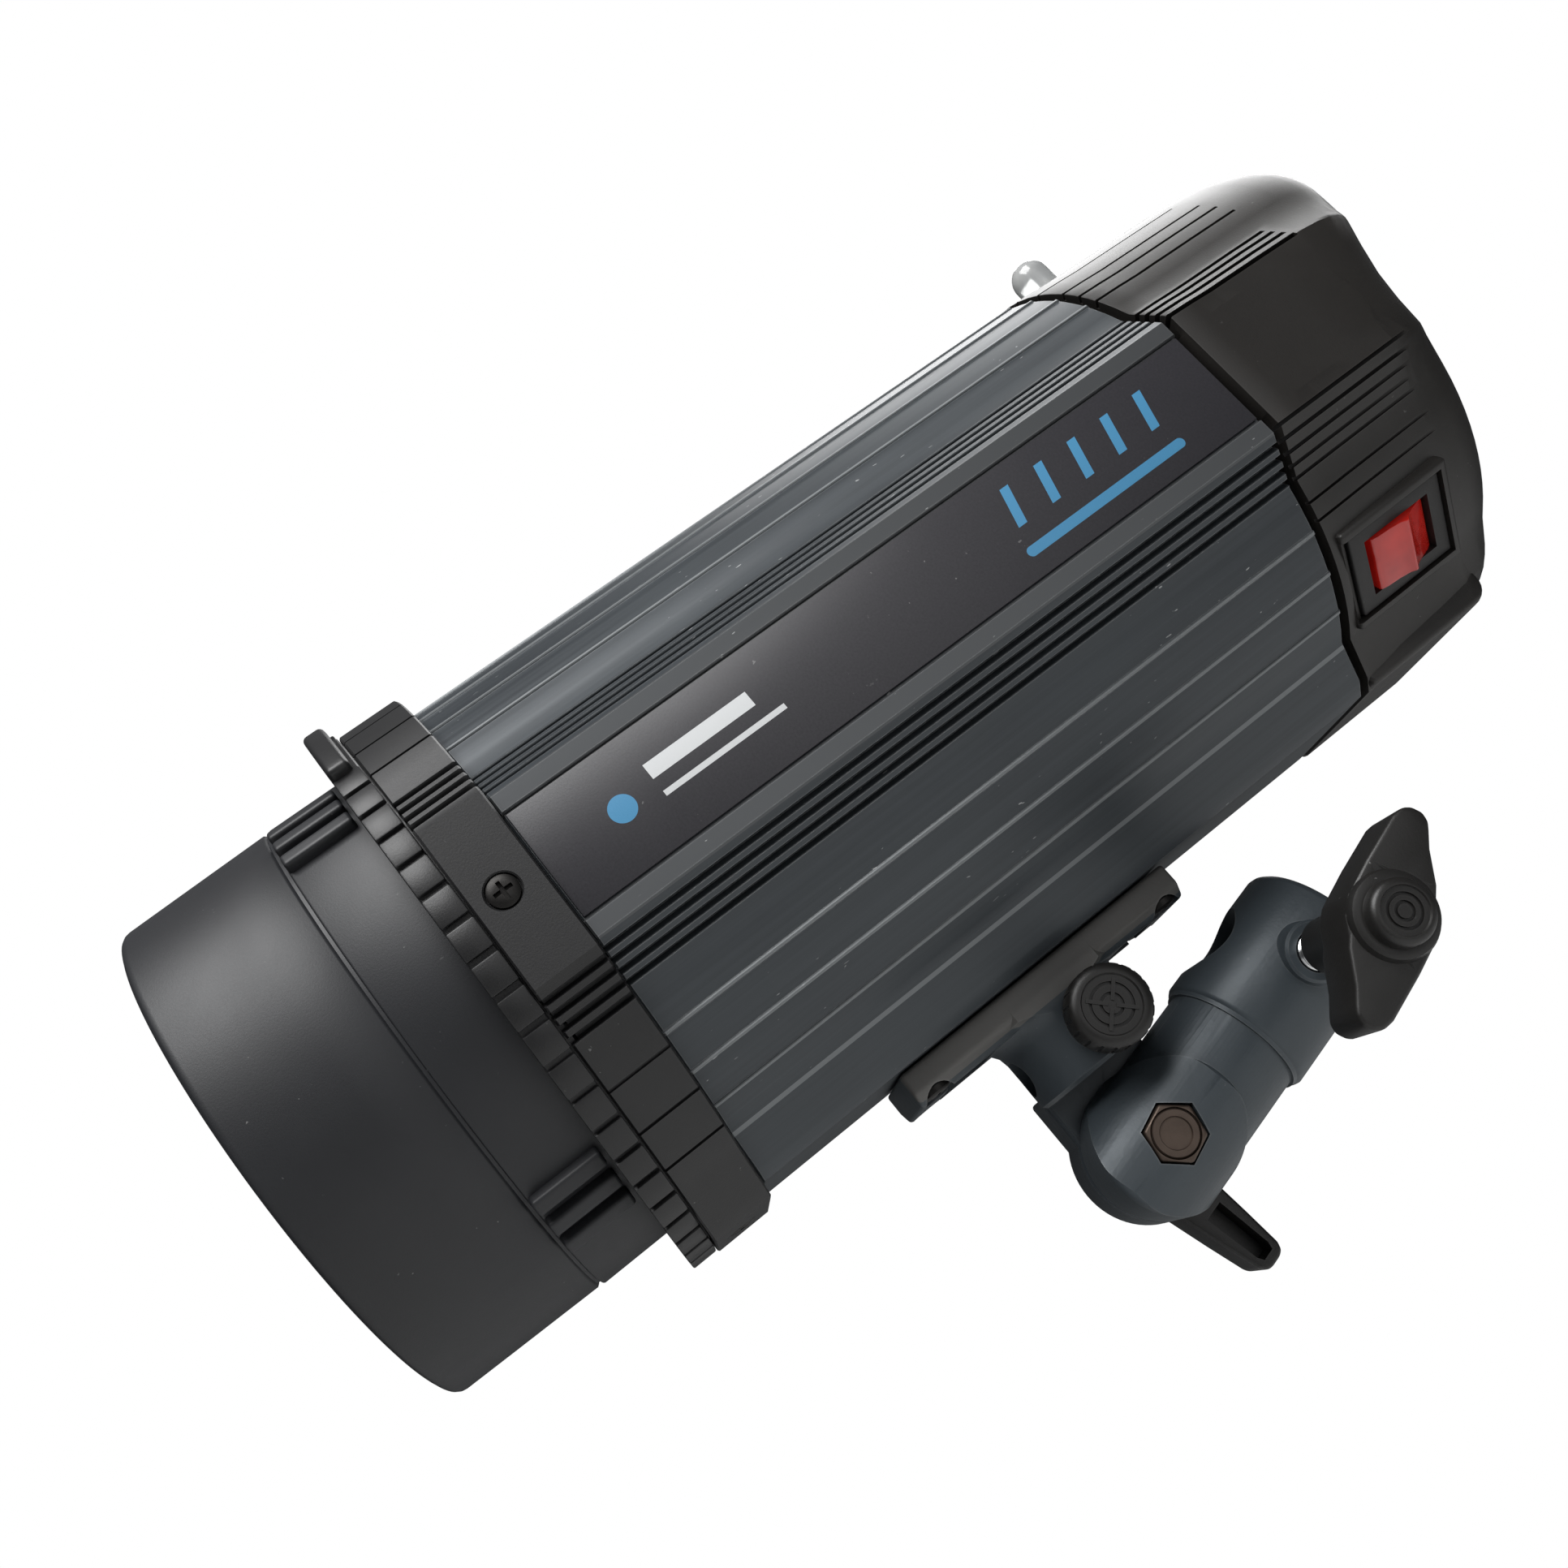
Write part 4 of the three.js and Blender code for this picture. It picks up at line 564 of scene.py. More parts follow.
RED_PAINTED_GLOW = red_lens_painted_glow()
GREEN = glass_finish("green_lens", shade(60, 190, 90), 0.15, 0.3)
DOME = dome_finish()
BOARD = board_finish()
CLEAR = glass_finish("flash_tube_glass", shade(236, 242, 244), 0.02, 0.9)
FROSTED = glass_finish("frosted_bulb", shade(238, 236, 230), 0.45, 0.35)
PRINT = moulded("panel_print", shade(214, 214, 210), 0.45, grain=0.1, wear=0.0)

# ------------------------------------------------------------------ shapes that come up again


def sector(name, inner, outer, start, end, low, high, steps=8):
    """A piece of a ring round the optical axis."""
    return slab(name, arc(outer, start, end, steps) + arc(inner, end, start, steps), (0, low, 0), X, Z,
                Y * (high - low))


def swing(piece, degrees):
    """Turns a piece round the optical axis, from +x towards +z."""
    return turn(piece, -math.radians(degrees), "Y", at(0, 0, 0))


def spread(piece, angles):
    """Copies of a piece at several angles round the optical axis, as a list; the first is the piece itself."""
    others = [swing(copy_of(piece, piece.name), angle) for angle in angles[1:]]
    return [swing(piece, angles[0])] + others


def shift(piece, x, y, z):
    take(piece)
    bpy.ops.transform.translate(value=Vector((x, y, z)) * MM)
    bpy.ops.object.transform_apply(location=True, rotation=True, scale=True)
    return piece


def rows_of(name, rows):
    """A skin over closed rows of points, each bridged to the next, the first and last row filled."""
    lines = [pen(name, [at(*point) for point in row], True) for row in rows]
    rest()
    piece = gather(*lines)
    count = len(rows[0])

    def pick(*wanted):
        edit(piece, "EDGE")
        bpy.ops.mesh.select_all(action="DESELECT")
        bpy.ops.object.mode_set(mode="OBJECT")
        for edge in piece.data.edges:
            met = {corner // count for corner in edge.vertices}
            edge.select = len(met) == 1 and met.pop() in wanted
        bpy.ops.object.mode_set(mode="EDIT")

    for i in range(len(rows) - 1):
        pick(i, i + 1)
        bpy.ops.mesh.bridge_edge_loops(type="SINGLE", use_merge=False)
    for end in (0, len(rows) - 1):
        pick(end)
        bpy.ops.mesh.edge_face_add()
    rest()
    return tidy(piece)


def case_outline(radius, pad, pad_edge, flank_edge, base, base_edge, flank=(), details=(), lip=()):
    """The case's outer outline from the underside round to the top, mirrored to the other side.

    flank holds (share, depth) corners between pad and round, details holds (angle, half width, height)
    beads or grooves on the round, lip holds the pad's own corners as (set back, z)."""
    flank_x = math.sqrt(radius ** 2 - flank_edge ** 2)
    flank_angle = math.degrees(math.asin(flank_edge / radius))
    start, end = (pad - 1, pad_edge), (flank_x, flank_edge)
    run = (end[0] - start[0], end[1] - start[1])
    length = math.hypot(*run)
    inward = (-run[1] / length, run[0] / length)
    upper = [start] + [(start[0] + run[0] * share + inward[0] * deep, start[1] + run[1] * share + inward[1] * deep)
                       for share, deep in flank] + [end]

    def rounded(low, high, steps):
        corners = [(angle, radius) for angle in [low + (high - low) * i / steps for i in range(steps + 1)]]
        for angle, half, height in details:
            if low + 1 < angle < high - 1 or (high == 90 and angle == 90):
                wide = math.degrees(half / radius)
                corners = [c for c in corners if abs(c[0] - angle) > wide * 1.6]
                slope = 0.5 if height > 0 else 0.85
                corners += [(angle - wide, radius), (angle - wide * slope, radius + height),
                            (angle + wide * slope, radius + height), (angle + wide, radius)]
        return [(r * math.cos(math.radians(a)), r * math.sin(math.radians(a))) for a, r in sorted(corners)]

    right = [(0, -base), (base_edge, -base), (base_edge + 3.5, -base + 2.2)]
    right += rounded(-61.5, -flank_angle, 10)[:-1]
    right += [(x, -z) for x, z in reversed(upper)]
    right += [(pad, -pad_edge + 1)] + [(pad - back, z) for back, z in lip] + [(pad, pad_edge - 1)]
    right += upper
    right += [p for p in rounded(flank_angle, 90, 16)[1:] if p[0] > 0.01]
    left = [(-x, z) for x, z in reversed(right) if x > 0.01]
    return right + [(0, right[-1][1])] + left if radius == 0 else right + left


def extruded(name, outline, start, end, ease=0.35):
    """The case outline drawn out along the axis, its two ends eased by drawing them in a little."""
    shrink = 1 - ease / 57
    piece = pen(name, [at(x * shrink, start, z * shrink) for x, z in outline], True)
    bpy.ops.mesh.select_all(action="SELECT")
    bpy.ops.mesh.edge_face_add()
    for reach, size in ((ease, 1 / shrink), (end - start - 2 * ease, 1), (ease, shrink)):
        bpy.ops.mesh.extrude_region_move(TRANSFORM_OT_translate={"value": Y * reach * MM})
        bpy.ops.transform.resize(value=(size, 1, size), center_override=at(0, start, 0))
    return tidy(piece)


def cross_screw(name, place, along, out, radius=2.9, height=0.7, depth=1.0):
    """A pan head with a cross recess, its foot at place and its top looking along."""
    profile = [(0, -0.8), (radius, -0.8), (radius, height * 0.35), (radius * 0.86, height * 0.75),
               (radius * 0.5, height), (0, height)]
    head = turned(name, profile, place, along, out, 32)
    side = along.cross(out)
    spot = Vector(place) + along * (height - depth)
    long, thin = radius * 0.62, radius * 0.13
    for u, v in ((out, side), (side, out)):
        slot = slab("slot", [(-long, -thin), (long, -thin), (long, thin), (-long, thin)], tuple(spot), u, v,
                    along * (depth + 1))
        carve(head, slot)
    return head


# ------------------------------------------------------------------ protective cap and lock ring

cap = turned("cap_shell", [
    (0, 0.5), (37.5, 0.5), (38.2, 0.1), (49, 0), (52.6, 0), (53.35, 0.35), (53.75, 0.95), (53.9, 1.8), (54.1, 11),
    (54.3, 21), (54.5, 31.2), (54.2, 31.6), (53.9, 31.8), (53.9, 32.4), (54.2, 32.6), (54.55, 32.65), (54.7, 32.9),
    (54.7, 50.8), (54.4, 51.1), (52.9, 51.1), (52.1, 3.9), (50.1, 1.9), (0, 1.9)], steps=128)
rib = round_edges(sector("cap_rib", 53.4, 57, -1.8, 1.8, 32.6, 46.8, 3), 0.7, 3)
ribs = []
for centre in (47.5, -47.5, 132.5, 227.5):
    ribs += [centre - 5.4 + 6.1 * i for i in (-1, 0, 1)]
lug = round_edges(sector("cap_lug", 53.4, 58, -15.5, 15.5, 49.6, 51.1, 10), 0.3)
cap = gather(cap, *spread(rib, ribs), *spread(lug, (90, 210, 330)))
done(cap, "cap_shell", "front_cap", CAP, ["front_cap"])

tooth_count = 57
pitch = 360 / tooth_count
collar = turned("lock_ring_collar", [
    (56.2, 47.7), (56.5, 47.6), (61.9, 47.6), (62.2, 47.9), (62.2, 52.8), (61.9, 53.1), (60.6, 53.1), (60.6, 54.3),
    (60.3, 54.3), (60.3, 51.1), (58.5, 51.1), (58.5, 49.3), (56.2, 49.3)], steps=114, ring=True)
for angle in (90, 210, 330):
    carve(collar, sector("slot", 54, 58.5, angle - 20, angle + 20, 46, 50.2, 12))
tooth = round_edges(sector("lock_ring_tooth", 61.4, 63.2, 0.5, pitch - 0.5, 47.65, 53.05, 2), 0.35, 2)
teeth = spread(tooth, [pitch * i for i in range(tooth_count) if not 36.5 < pitch * i < 67])
tab = round_edges(sector("lock_ring_tab", 61.4, 65.5, 37, 71, 47.6, 52.1, 16), 1.1, 4)
ring = gather(collar, *teeth, tab)
done(ring, "lock_ring_fluted", "lock_ring", RING, ["lock_ring"], smooth=35)

# ------------------------------------------------------------------ front ring

quarter = [34.5 + 9.25 * i for i in range(7)]
both = quarter + [180 - a for a in quarter if a != 90]
around = [a for a in quarter if a < 91] + [-a for a in quarter[:3]]
grooves = [(a, 0.35, -0.55) for a in around]
steps4 = [(share, deep) for i in range(4)
          for share, deep in (((i + 0.26) / 4, 0), ((i + 0.3) / 4, 0.2), ((i + 0.34) / 4, 1.9), ((i + 0.78) / 4, 1.9),
                              ((i + 0.82) / 4, 0.2), ((i + 0.86) / 4, 0))]
front = extruded("front_ring_body", case_outline(61.8, 62.6, 17.6, 26.6, 62.9, 18.5, steps4, grooves), 53.4, 66.4)
carve(front, rod("room", 60.9, 50, 54.9, steps=96, edge=0.05))
nose = turned("nose", [(54.9, 51.6), (55.1, 51.4), (59.8, 51.4), (60, 51.6), (60, 52.4), (58.2, 52.4), (58.2, 56),
                       (54.8, 56), (54.8, 51.7)], steps=96, ring=True)
carve(front, rod("bore", 54.8, 40, 57.2, steps=96, edge=0.05), rod("bore", 51, 40, 80, steps=96, edge=0.05))
spigot = turned("spigot", [(51, 64), (53.6, 64), (53.6, 74.1), (53.3, 74.4), (51, 74.4)], steps=96, ring=True)
faces = {0: 62.6, 90: 61.8, 180: 62.6, -90: 62.9}
for angle, face in faces.items():
    a = math.radians(angle)
    outward = X * math.cos(a) + Z * math.sin(a)
    foot = outward * (face - 1.5) + Y * 59.3
    carve(front, turned("seat", [(0, 0), (3.2, 0), (3.2, 1.2), (3.6, 1.6), (3.6, 4), (0, 4)], tuple(foot), outward, Y, 32))
front = gather(front, nose, spigot)
done(front, "front_ring_ribbed", "light", RING, ["front_ring"], smooth=32)
for name, angle in (("left", 0), ("top", 90), ("right", 180), ("bottom", -90)):
    a = math.radians(angle)
    outward = X * math.cos(a) + Z * math.sin(a)
    head = cross_screw("ring_screw_head_" + name, tuple(outward * (faces[angle] - 0.4) + Y * 59.3), outward, Y)
    done(head, "ring_screw_head_" + name, "light", DARK_STEEL, ["front_ring_screw_" + name])

# ------------------------------------------------------------------ tube and labels

beads = [(a, 0.5, 0.38) for a in around]
stair = [(share, deep) for i in range(4)
         for share, deep in (((i + 0.24) / 4, 0), ((i + 0.29) / 4, 0.2), ((i + 0.32) / 4, 1.7), ((i + 0.76) / 4, 1.7),
                             ((i + 0.79) / 4, 0.2), ((i + 0.84) / 4, 0))]
seat = [(0, -11.9), (0.45, -11.55), (0.9, -11.5), (0.9, 11.5), (0.45, 11.55), (0, 11.9)]
tube = extruded("tube_extrusion", case_outline(57, 60.6, 16.2, 23.6, 60, 18.5, stair, beads, seat), 66.7, 222)
carve(tube, rod("bore", 54, 50, 240, steps=128, edge=0.02))
done(tube, "tube_extrusion", "light", PAINT, ["body_tube"], smooth=30)

plate = round_edges(brick("label_film_left", (60.0, 67.2, -11.1), (60.5, 221.5, 11.1)), 0.14, 2)
mirror = shift(copy_of(plate, "label_film_right"), -120.5, 0, 0)
done(plate, "label_film_left", "light", LABEL, ["label_plate_left"])
done(mirror, "label_film_right", "light", LABEL, ["label_plate_right"])

# ------------------------------------------------------------------ rear housing


def rim(z):
    """How far back the housing's rim runs: level below the axis, then rising to a hood over the top."""
    share = min(max((z + 8) / 50, 0), 1)
    return 269 + 13.9 * share * share * (3 - 2 * share)


shell_outline = case_outline(57.5, 61.1, 16.2, 23.6, 60.5, 18.5,
                             lip=[(0, -8), (0, 0), (0, 8)])


def housing_row(inset, reach):
    row = []
    for x, z in shell_outline:
        r = math.hypot(x, z)
        share = (r - inset * (r - 52)) / r
        row.append((x * share, reach(z), z * share))
    return row


def round_row(radius, reach):
    row = []
    for x, z in shell_outline:
        r = math.hypot(x, z)
        row.append((x / r * radius, reach(z / r * radius), z / r * radius))
    return row


swell = [(0.012, lambda z: 223.6), (0, lambda z: 223.9), (0.03, lambda z: 229), (0.08, lambda z: 234.5),
         (0.13, lambda z: rim(z) * 0.3 + 240 * 0.7 - 2), (0.18, lambda z: rim(z) * 0.6 + 240 * 0.4 - 2),
         (0.26, lambda z: rim(z) - 11), (0.36, lambda z: rim(z) - 7.4), (0.5, lambda z: rim(z) - 4.4),
         (0.68, lambda z: rim(z) - 2.1), (0.86, lambda z: rim(z) - 0.7), (1.02, lambda z: rim(z) - 0.1),
         (1.12, lambda z: rim(z))]
rows = [housing_row(inset, reach) for inset, reach in swell]
rows += [round_row(50.3, lambda z: rim(z) - 0.4)]
housing = rows_of("rear_shell", rows)
carve(housing, turned("hollow", [(0, 220), (54, 220), (54, 250), (47.8, 250), (47.8, 252.2), (49.8, 252.2), (49.8, 262),
                                 (50.1, 295), (0, 295)], steps=128))
collar = turned("collar", [(51, 215.6), (53.4, 215.6), (53.6, 215.9), (53.6, 223.8), (54.4, 223.8), (54.4, 226.6),
                           (51, 226.6)], steps=96, ring=True)
SWITCH = math.radians(-49)
S_OUT = X * math.cos(SWITCH) + Z * math.sin(SWITCH)
S_SIDE = Z * math.cos(SWITCH) - X * math.sin(SWITCH)


def switch_block(name, out0, out1, half_y, half_s, y=240):
    spot = S_OUT * out0 + Y * y
    return slab(name, [(-half_y, -half_s), (half_y, -half_s), (half_y, half_s), (-half_y, half_s)], tuple(spot),
                Y, S_SIDE, S_OUT * (out1 - out0))


wing = [(222.5, -11.6), (249, -11.6)] + [(249 + y, -3.6 + z) for y, z in arc(8, -90, 0, 8)] + \
    [(257, 3.4)] + [(249 + y, 3.4 + z) for y, z in arc(8, 0, 90, 8)][1:] + [(222.5, 11.4)]
for side in (1, -1):
    pad = slab("pad", wing[:1] + wing[1:], (side * 45, 1.1, 0), Y, Z, X * (16.0 * side))
    turn(pad, side * math.radians(3.2), "Z", at(side * 61, 224, 0))
    pad = round_edges(pad, 0.35, 2)
    carve(pad, rod("clear", 53, 200, 300, steps=64))
    join(housing, pad)
foot = slab("foot", [(223.7, -46), (223.7, -60.4), (254, -60.4)] + [(254 + y, -55.9 + z) for y, z in arc(4.5, -90, 0, 6)] +
            [(258.5, -46)], (-22, 0, 0), Y, Z, X * 44)
foot = round_edges(foot, 1.2, 3)
carve(foot, rod("clear", 53, 200, 300, steps=64))
join(housing, foot)
plinth = round_edges(switch_block("plinth", 46, 57.9, 14.6, 11.4), 0.9, 3)
carve(plinth, rod("clear", 53, 200, 300, steps=64))
join(housing, plinth, collar)
cuts = []
for angle, floor_radius, wide in ((14.2, 58.7, 0.62), (16.8, 58.2, 0.62), (19.4, 57.2, 0.62), (22.0, 56.4, 0.62),
                                  (33.5, 56.3, 0.45), (38.7, 56.4, 0.45), (44, 56.6, 0.4), (53, 56.6, 0.4),
                                  (62, 56.6, 0.4), (71, 56.6, 0.4), (80, 56.6, 0.4),
                                  (-13.6, 60.0, 0.36), (-16.1, 59.4, 0.36), (-18.6, 58.7, 0.36), (-21.1, 57.9, 0.36),
                                  (-23.6, 56.9, 0.36), (-29, 56.7, 0.3), (-33, 56.8, 0.3)):
    for turned_angle in (angle, 180 - angle):
        cuts.append(sector("groove", floor_radius - 0.6, 68, turned_angle - wide, turned_angle + wide, 222,
                           258 if 12 < angle < 25 else 262, 1))
grooves_cut = gather(*cuts)
carve(housing, grooves_cut, switch_block("well", 30, 64, 9.9, 7.4), switch_block("bed", 55.3, 66, 12.8, 9.6),
      switch_block("channel", 56.2, 66, 1.2, 9.6, 226.7), rod("hole", 5.1, 40, 75, (0, 247.5, 0), Z, X))
done(housing, "rear_shell", "light", HOUSING, ["rear_housing"], smooth=32)

# ------------------------------------------------------------------ power switch and sensor dome

bezel = round_edges(switch_block("switch_bezel", 55.6, 57.2, 12.5, 9.3), 0.5, 3)
inner = switch_block("inner", 43, 56.1, 9.6, 7.1)
join(bezel, inner)
carve(bezel, switch_block("well", 47.6, 58.5, 8.8, 6.3))
done(bezel, "switch_bezel", "light", PANEL, ["power_switch_frame"])

tip = math.radians(6)


def rocker_point(out, along):
    """Rocker corners, tipped about its pivot."""
    r = out - 52.2
    return (52.2 + r * math.cos(tip) - along * math.sin(tip), r * math.sin(tip) + along * math.cos(tip))


outline = [(50.2, -3), (50.2, 3), (52.8, 7), (56.4, 8), (56.9, 7.7), (57.4, 6.4), (58.0, 3.6), (58.8, 1.2), (59.6, 0.3),
           (59.6, -0.3), (58.8, -1.2), (58.0, -3.6), (57.4, -6.4), (56.9, -7.7), (56.4, -8), (52.8, -7)]
rocker = slab("rocker", [rocker_point(o, a) for o, a in outline], tuple(S_SIDE * -6 + Y * 240), S_OUT, Y, S_SIDE * 12)
rocker = round_edges(rocker, 0.3, 2, 35)
done(rocker, "switch_rocker", "power_rocker", RED_PAINTED_GLOW, ["power_rocker"], smooth=30)

dome_profile = [(0, 53.2), (4.8, 53.2), (4.8, 65)] + [(4.8 * math.cos(a * math.pi / 24), 65.6 + 4.8 * math.sin(a * math.pi / 24))
                                                  for a in range(1, 12)] + [(0, 70.4)]
dome = turned("sensor_dome", dome_profile, (0, 247.5, 0), Z, X, 48)
done(dome, "sensor_dome", "light", DOME, ["slave_sensor_dome"])

# ------------------------------------------------------------------ bracket under the case

rail = slab("rail", [(-14, -60.4), (-14, -65.2), (-11.4, -67.8), (11.4, -67.8), (14, -65.2), (14, -60.4)],
            (0, 99, 0), X, Z, Y * 68)
rail = round_edges(rail, 0.8, 3)
carve(rail, slab("relief", [(-9.5, 0), (9.5, 0), (9.5, 3), (-9.5, 3)], (0, 106, -69.5), X, Z, Y * 12),
      slab("relief", [(-9.5, 0), (9.5, 0), (9.5, 3), (-9.5, 3)], (0, 151, -69.5), X, Z, Y * 9))
block = turned("block", [(0, -82.6), (13.2, -82.6), (14, -81.8), (14, -71.5), (14.4, -69.4), (15.6, -67.7), (17.5, -66.6),
                         (17.5, -63), (0, -63)], (0, 134, 0), Z, X, 64)
carve(block, brick("side", (14.03, 110, -70.5), (30, 160, -60)), brick("side", (-30, 110, -70.5), (-14.03, 160, -60)))
boss = turned("boss", [(0, 2), (7.4, 2), (7.4, 13.4), (6.9, 14.2), (0, 14.2)], (0, 137.4, -75.3), X, Z, 40)
neck = round_edges(brick("neck", (-13.5, 120.8, -101), (-2.4, 145.2, -80.5)), 0.8, 3)
disc = turned("disc", [(0, -13.5), (14.1, -13.5), (15, -12.6), (15, -3.1), (14.3, -2.4), (0, -2.4)], PIVOT, X, Z, 72)
join(rail, block, boss, neck, disc)
cuts = [rod("bolt_hole", 3.3, -20, 0, PIVOT, X, Z, 32), rod("umbrella_hole", 4.2, 110, 160, (0, 0, -75.3), Y, Z, 40),
        rod("screw_hole", 2.7, 0, 18, (0, 137.4, -75.3), X, Z, 24)]
for x in (-10, 10):
    for y in (103.5, 162.5):
        cuts += [rod("hole", 2.2, -75, -58, (x, y, 0), Z, X, 24), rod("head_room", 3.6, -75, -65, (x, y, 0), Z, X, 32)]
carve(rail, *cuts)
done(rail, "bracket_casting", "light", RAIL_CAST, ["tilt_bracket"], smooth=32)

for end, y in (("front", 103.5), ("rear", 162.5)):
    for side, x in (("left", 10), ("right", -10)):
        head = cross_screw("rail_screw_" + end + "_" + side, (x, y, -66.6), -Z, X, 3.2, 0.9, 1.1)
        node = "bracket_screw_" + end + "_" + side
        done(head, "rail_screw_" + end + "_" + side, "light", DARK_STEEL, [node])


def face_rings(radii, start, along, out, origin, depth=0.5):
    """Thin ring grooves in a round face, as a list with one cutter for each radius."""
    return [turned("ring_groove", [(r - 0.28, start - depth), (r, start - depth), (r + 0.28, start - depth),
                                   (r + 0.4, start + 1), (r - 0.4, start + 1)], origin, along, out, 48, ring=True)
            for r in radii]


knob = turned("umbrella_knob_body", [(0, 16.1), (7.4, 16.1), (8.2, 16.9), (8.2, 21.9), (7.6, 22.7), (6.6, 23.1), (6.0, 23.1),
                                     (5.7, 22.7), (0, 22.7)], (0, 137.4, -75.3), X, Z, 64)
flutes = [turn(rod("flute", 0.42, 16.9, 22.2, (0, 137.4, -75.3 + 8.35), X, Z, 8, 0.1), math.radians(18 * i), "X",
               at(0, 137.4, -75.3)) for i in range(20)]
carve(knob, gather(*flutes), *face_rings([4.1, 2.1], 22.7, X, Z, (0, 137.4, -75.3)))
spokes = [turn(brick("spoke", (22.35, 138.2, -75.65), (22.95, 142.4, -74.95)), math.radians(45 + 90 * i), "X",
               at(0, 137.4, -75.3)) for i in range(4)]
knob = gather(knob, *spokes)
done(knob, "umbrella_knob_body", "umbrella_knob", KNOB, ["umbrella_knob"])

# ------------------------------------------------------------------ stand receiver, laid along its own axis

ALONG = Y * math.cos(FOLD) + Z * math.sin(FOLD)
RISE = Z * math.cos(FOLD) - Y * math.sin(FOLD)


def by_pivot(x, along, rise):
    """A place about the tilt pivot, in millimetres: to the side, along the receiver, and above it."""
    return tuple(Vector(PIVOT) + X * x + ALONG * along + RISE * rise)


arm = turned("arm", [(0, 0), (13.7, 0), (13.7, 26.2), (0, 26.2)], PIVOT, ALONG, X, 96)
carve(arm, slab("half", [(-20, -30), (16.5, -30), (16.5, 30), (-20, 30)], by_pivot(-20, 0, 0), ALONG, RISE, X * 19.6))
swept = [(15 * math.cos(math.radians(a)), 15 * math.sin(math.radians(a))) for a in range(0, 91, 6)]
knuckle = turned("knuckle", [(0, -0.4), (15, -0.4)] + [(15 - 2.2 * (1 - math.cos(math.radians(a))), 12.8 + 2.2 * math.sin(math.radians(a)))
                                                     for a in range(0, 91, 10)] + [(0, 15)], PIVOT, X, ALONG, 96)
round_bar = turned("round_bar", [(0, -16), (14.72, -16), (14.72, 16), (0, 16)], PIVOT, ALONG, X, 90)
carve(knuckle, round_bar, how="INTERSECT")
collar = turned("collar", [(0, 25.5), (14.3, 25.5), (14.55, 26.3), (14.9, 26.6), (15.2, 27.2), (15.2, 55.6), (14.9, 56.5),
                           (14.3, 57.1), (13.6, 57.3), (0, 57.3)], PIVOT, ALONG, X, 96)
TWIST = math.radians(4)
L_OUT = X * math.cos(TWIST) - RISE * math.sin(TWIST)
L_SIDE = ALONG
LOCK = by_pivot(0, 45.3, 0)
clamp_boss = turned("clamp_boss", [(0, 10), (7.6, 10), (7.0, 13.6), (6.45, 14.6), (6.3, 15.4), (6.3, 16.8), (5.8, 17.4), (0, 17.4)],
                    LOCK, L_OUT, L_SIDE, 48)
join(arm, knuckle, collar, clamp_boss)
carve(arm, turned("socket", [(0, 24), (8.2, 24), (8.2, 56.6), (9, 57.6), (9, 60), (0, 60)], PIVOT, ALONG, X, 64),
      turned("cross_hole", [(0, 0), (8.2, 0), (8.2, 14.2), (8.8, 15.3), (8.8, 18), (0, 18)], by_pivot(0, 39.7, 0), RISE, X, 64),
      rod("screw_hole", 4.3, 0, 20, LOCK, L_OUT, L_SIDE, 40), rod("bolt_hole", 3.3, -3, 20, PIVOT, X, Z, 32))
hexes = [(6.12 * 1.15 * math.cos(math.radians(60 * i + 8)), 6.12 * 1.15 * math.sin(math.radians(60 * i + 8))) for i in range(6)]
carve(arm, slab("hex_pocket", [(a * 0.93, b * 0.93) for a, b in hexes], by_pivot(9.2, 0, 0), ALONG, RISE, X * 10))
done(arm, "receiver_casting", "stand", CAST, ["stand_receiver"], smooth=30)

hexes = [(6.1 * math.cos(math.radians(60 * i + 8)), 6.1 * math.sin(math.radians(60 * i + 8))) for i in range(6)]
bolt = slab("bolt_head", hexes, by_pivot(9.5, 0, 0), ALONG, RISE, X * 4.9)
bolt = round_edges(bolt, 0.45, 2)
crown = turned("crown", [(0, 9), (5.0, 9), (5.0, 13.6), (4.4, 14.4), (3.2, 14.4), (3.0, 14.0), (0, 14.0)], PIVOT, X, Z, 48)
shank = turned("shank", [(0, -26), (2.6, -26), (3, -25.6), (3, 10), (0, 10)], PIVOT, X, Z, 32)
carve(bolt, rod("dish", 4.9, 13.7, 16, PIVOT, X, Z, 48, 0.1))
bolt = gather(bolt, crown, shank)
done(bolt, "tilt_bolt_hex", "stand", BROWN_STEEL, ["tilt_bolt"])

thread = [(0, 8.7), (3.2, 8.7)]
for i in range(18):
    base = 9.4 + i * 1.25
    thread += [(3.45, base), (3.98, base + 0.5), (3.98, base + 0.72), (3.45, base + 1.15)]
stud = turned("lock_stud", thread + [(3.9, 32), (3.9, 45.7), (0, 45.7)], LOCK, L_OUT, L_SIDE, 48)
done(stud, "lock_stud", "stand_lock_screw", CHROME, ["stand_lock_screw"], smooth=50)

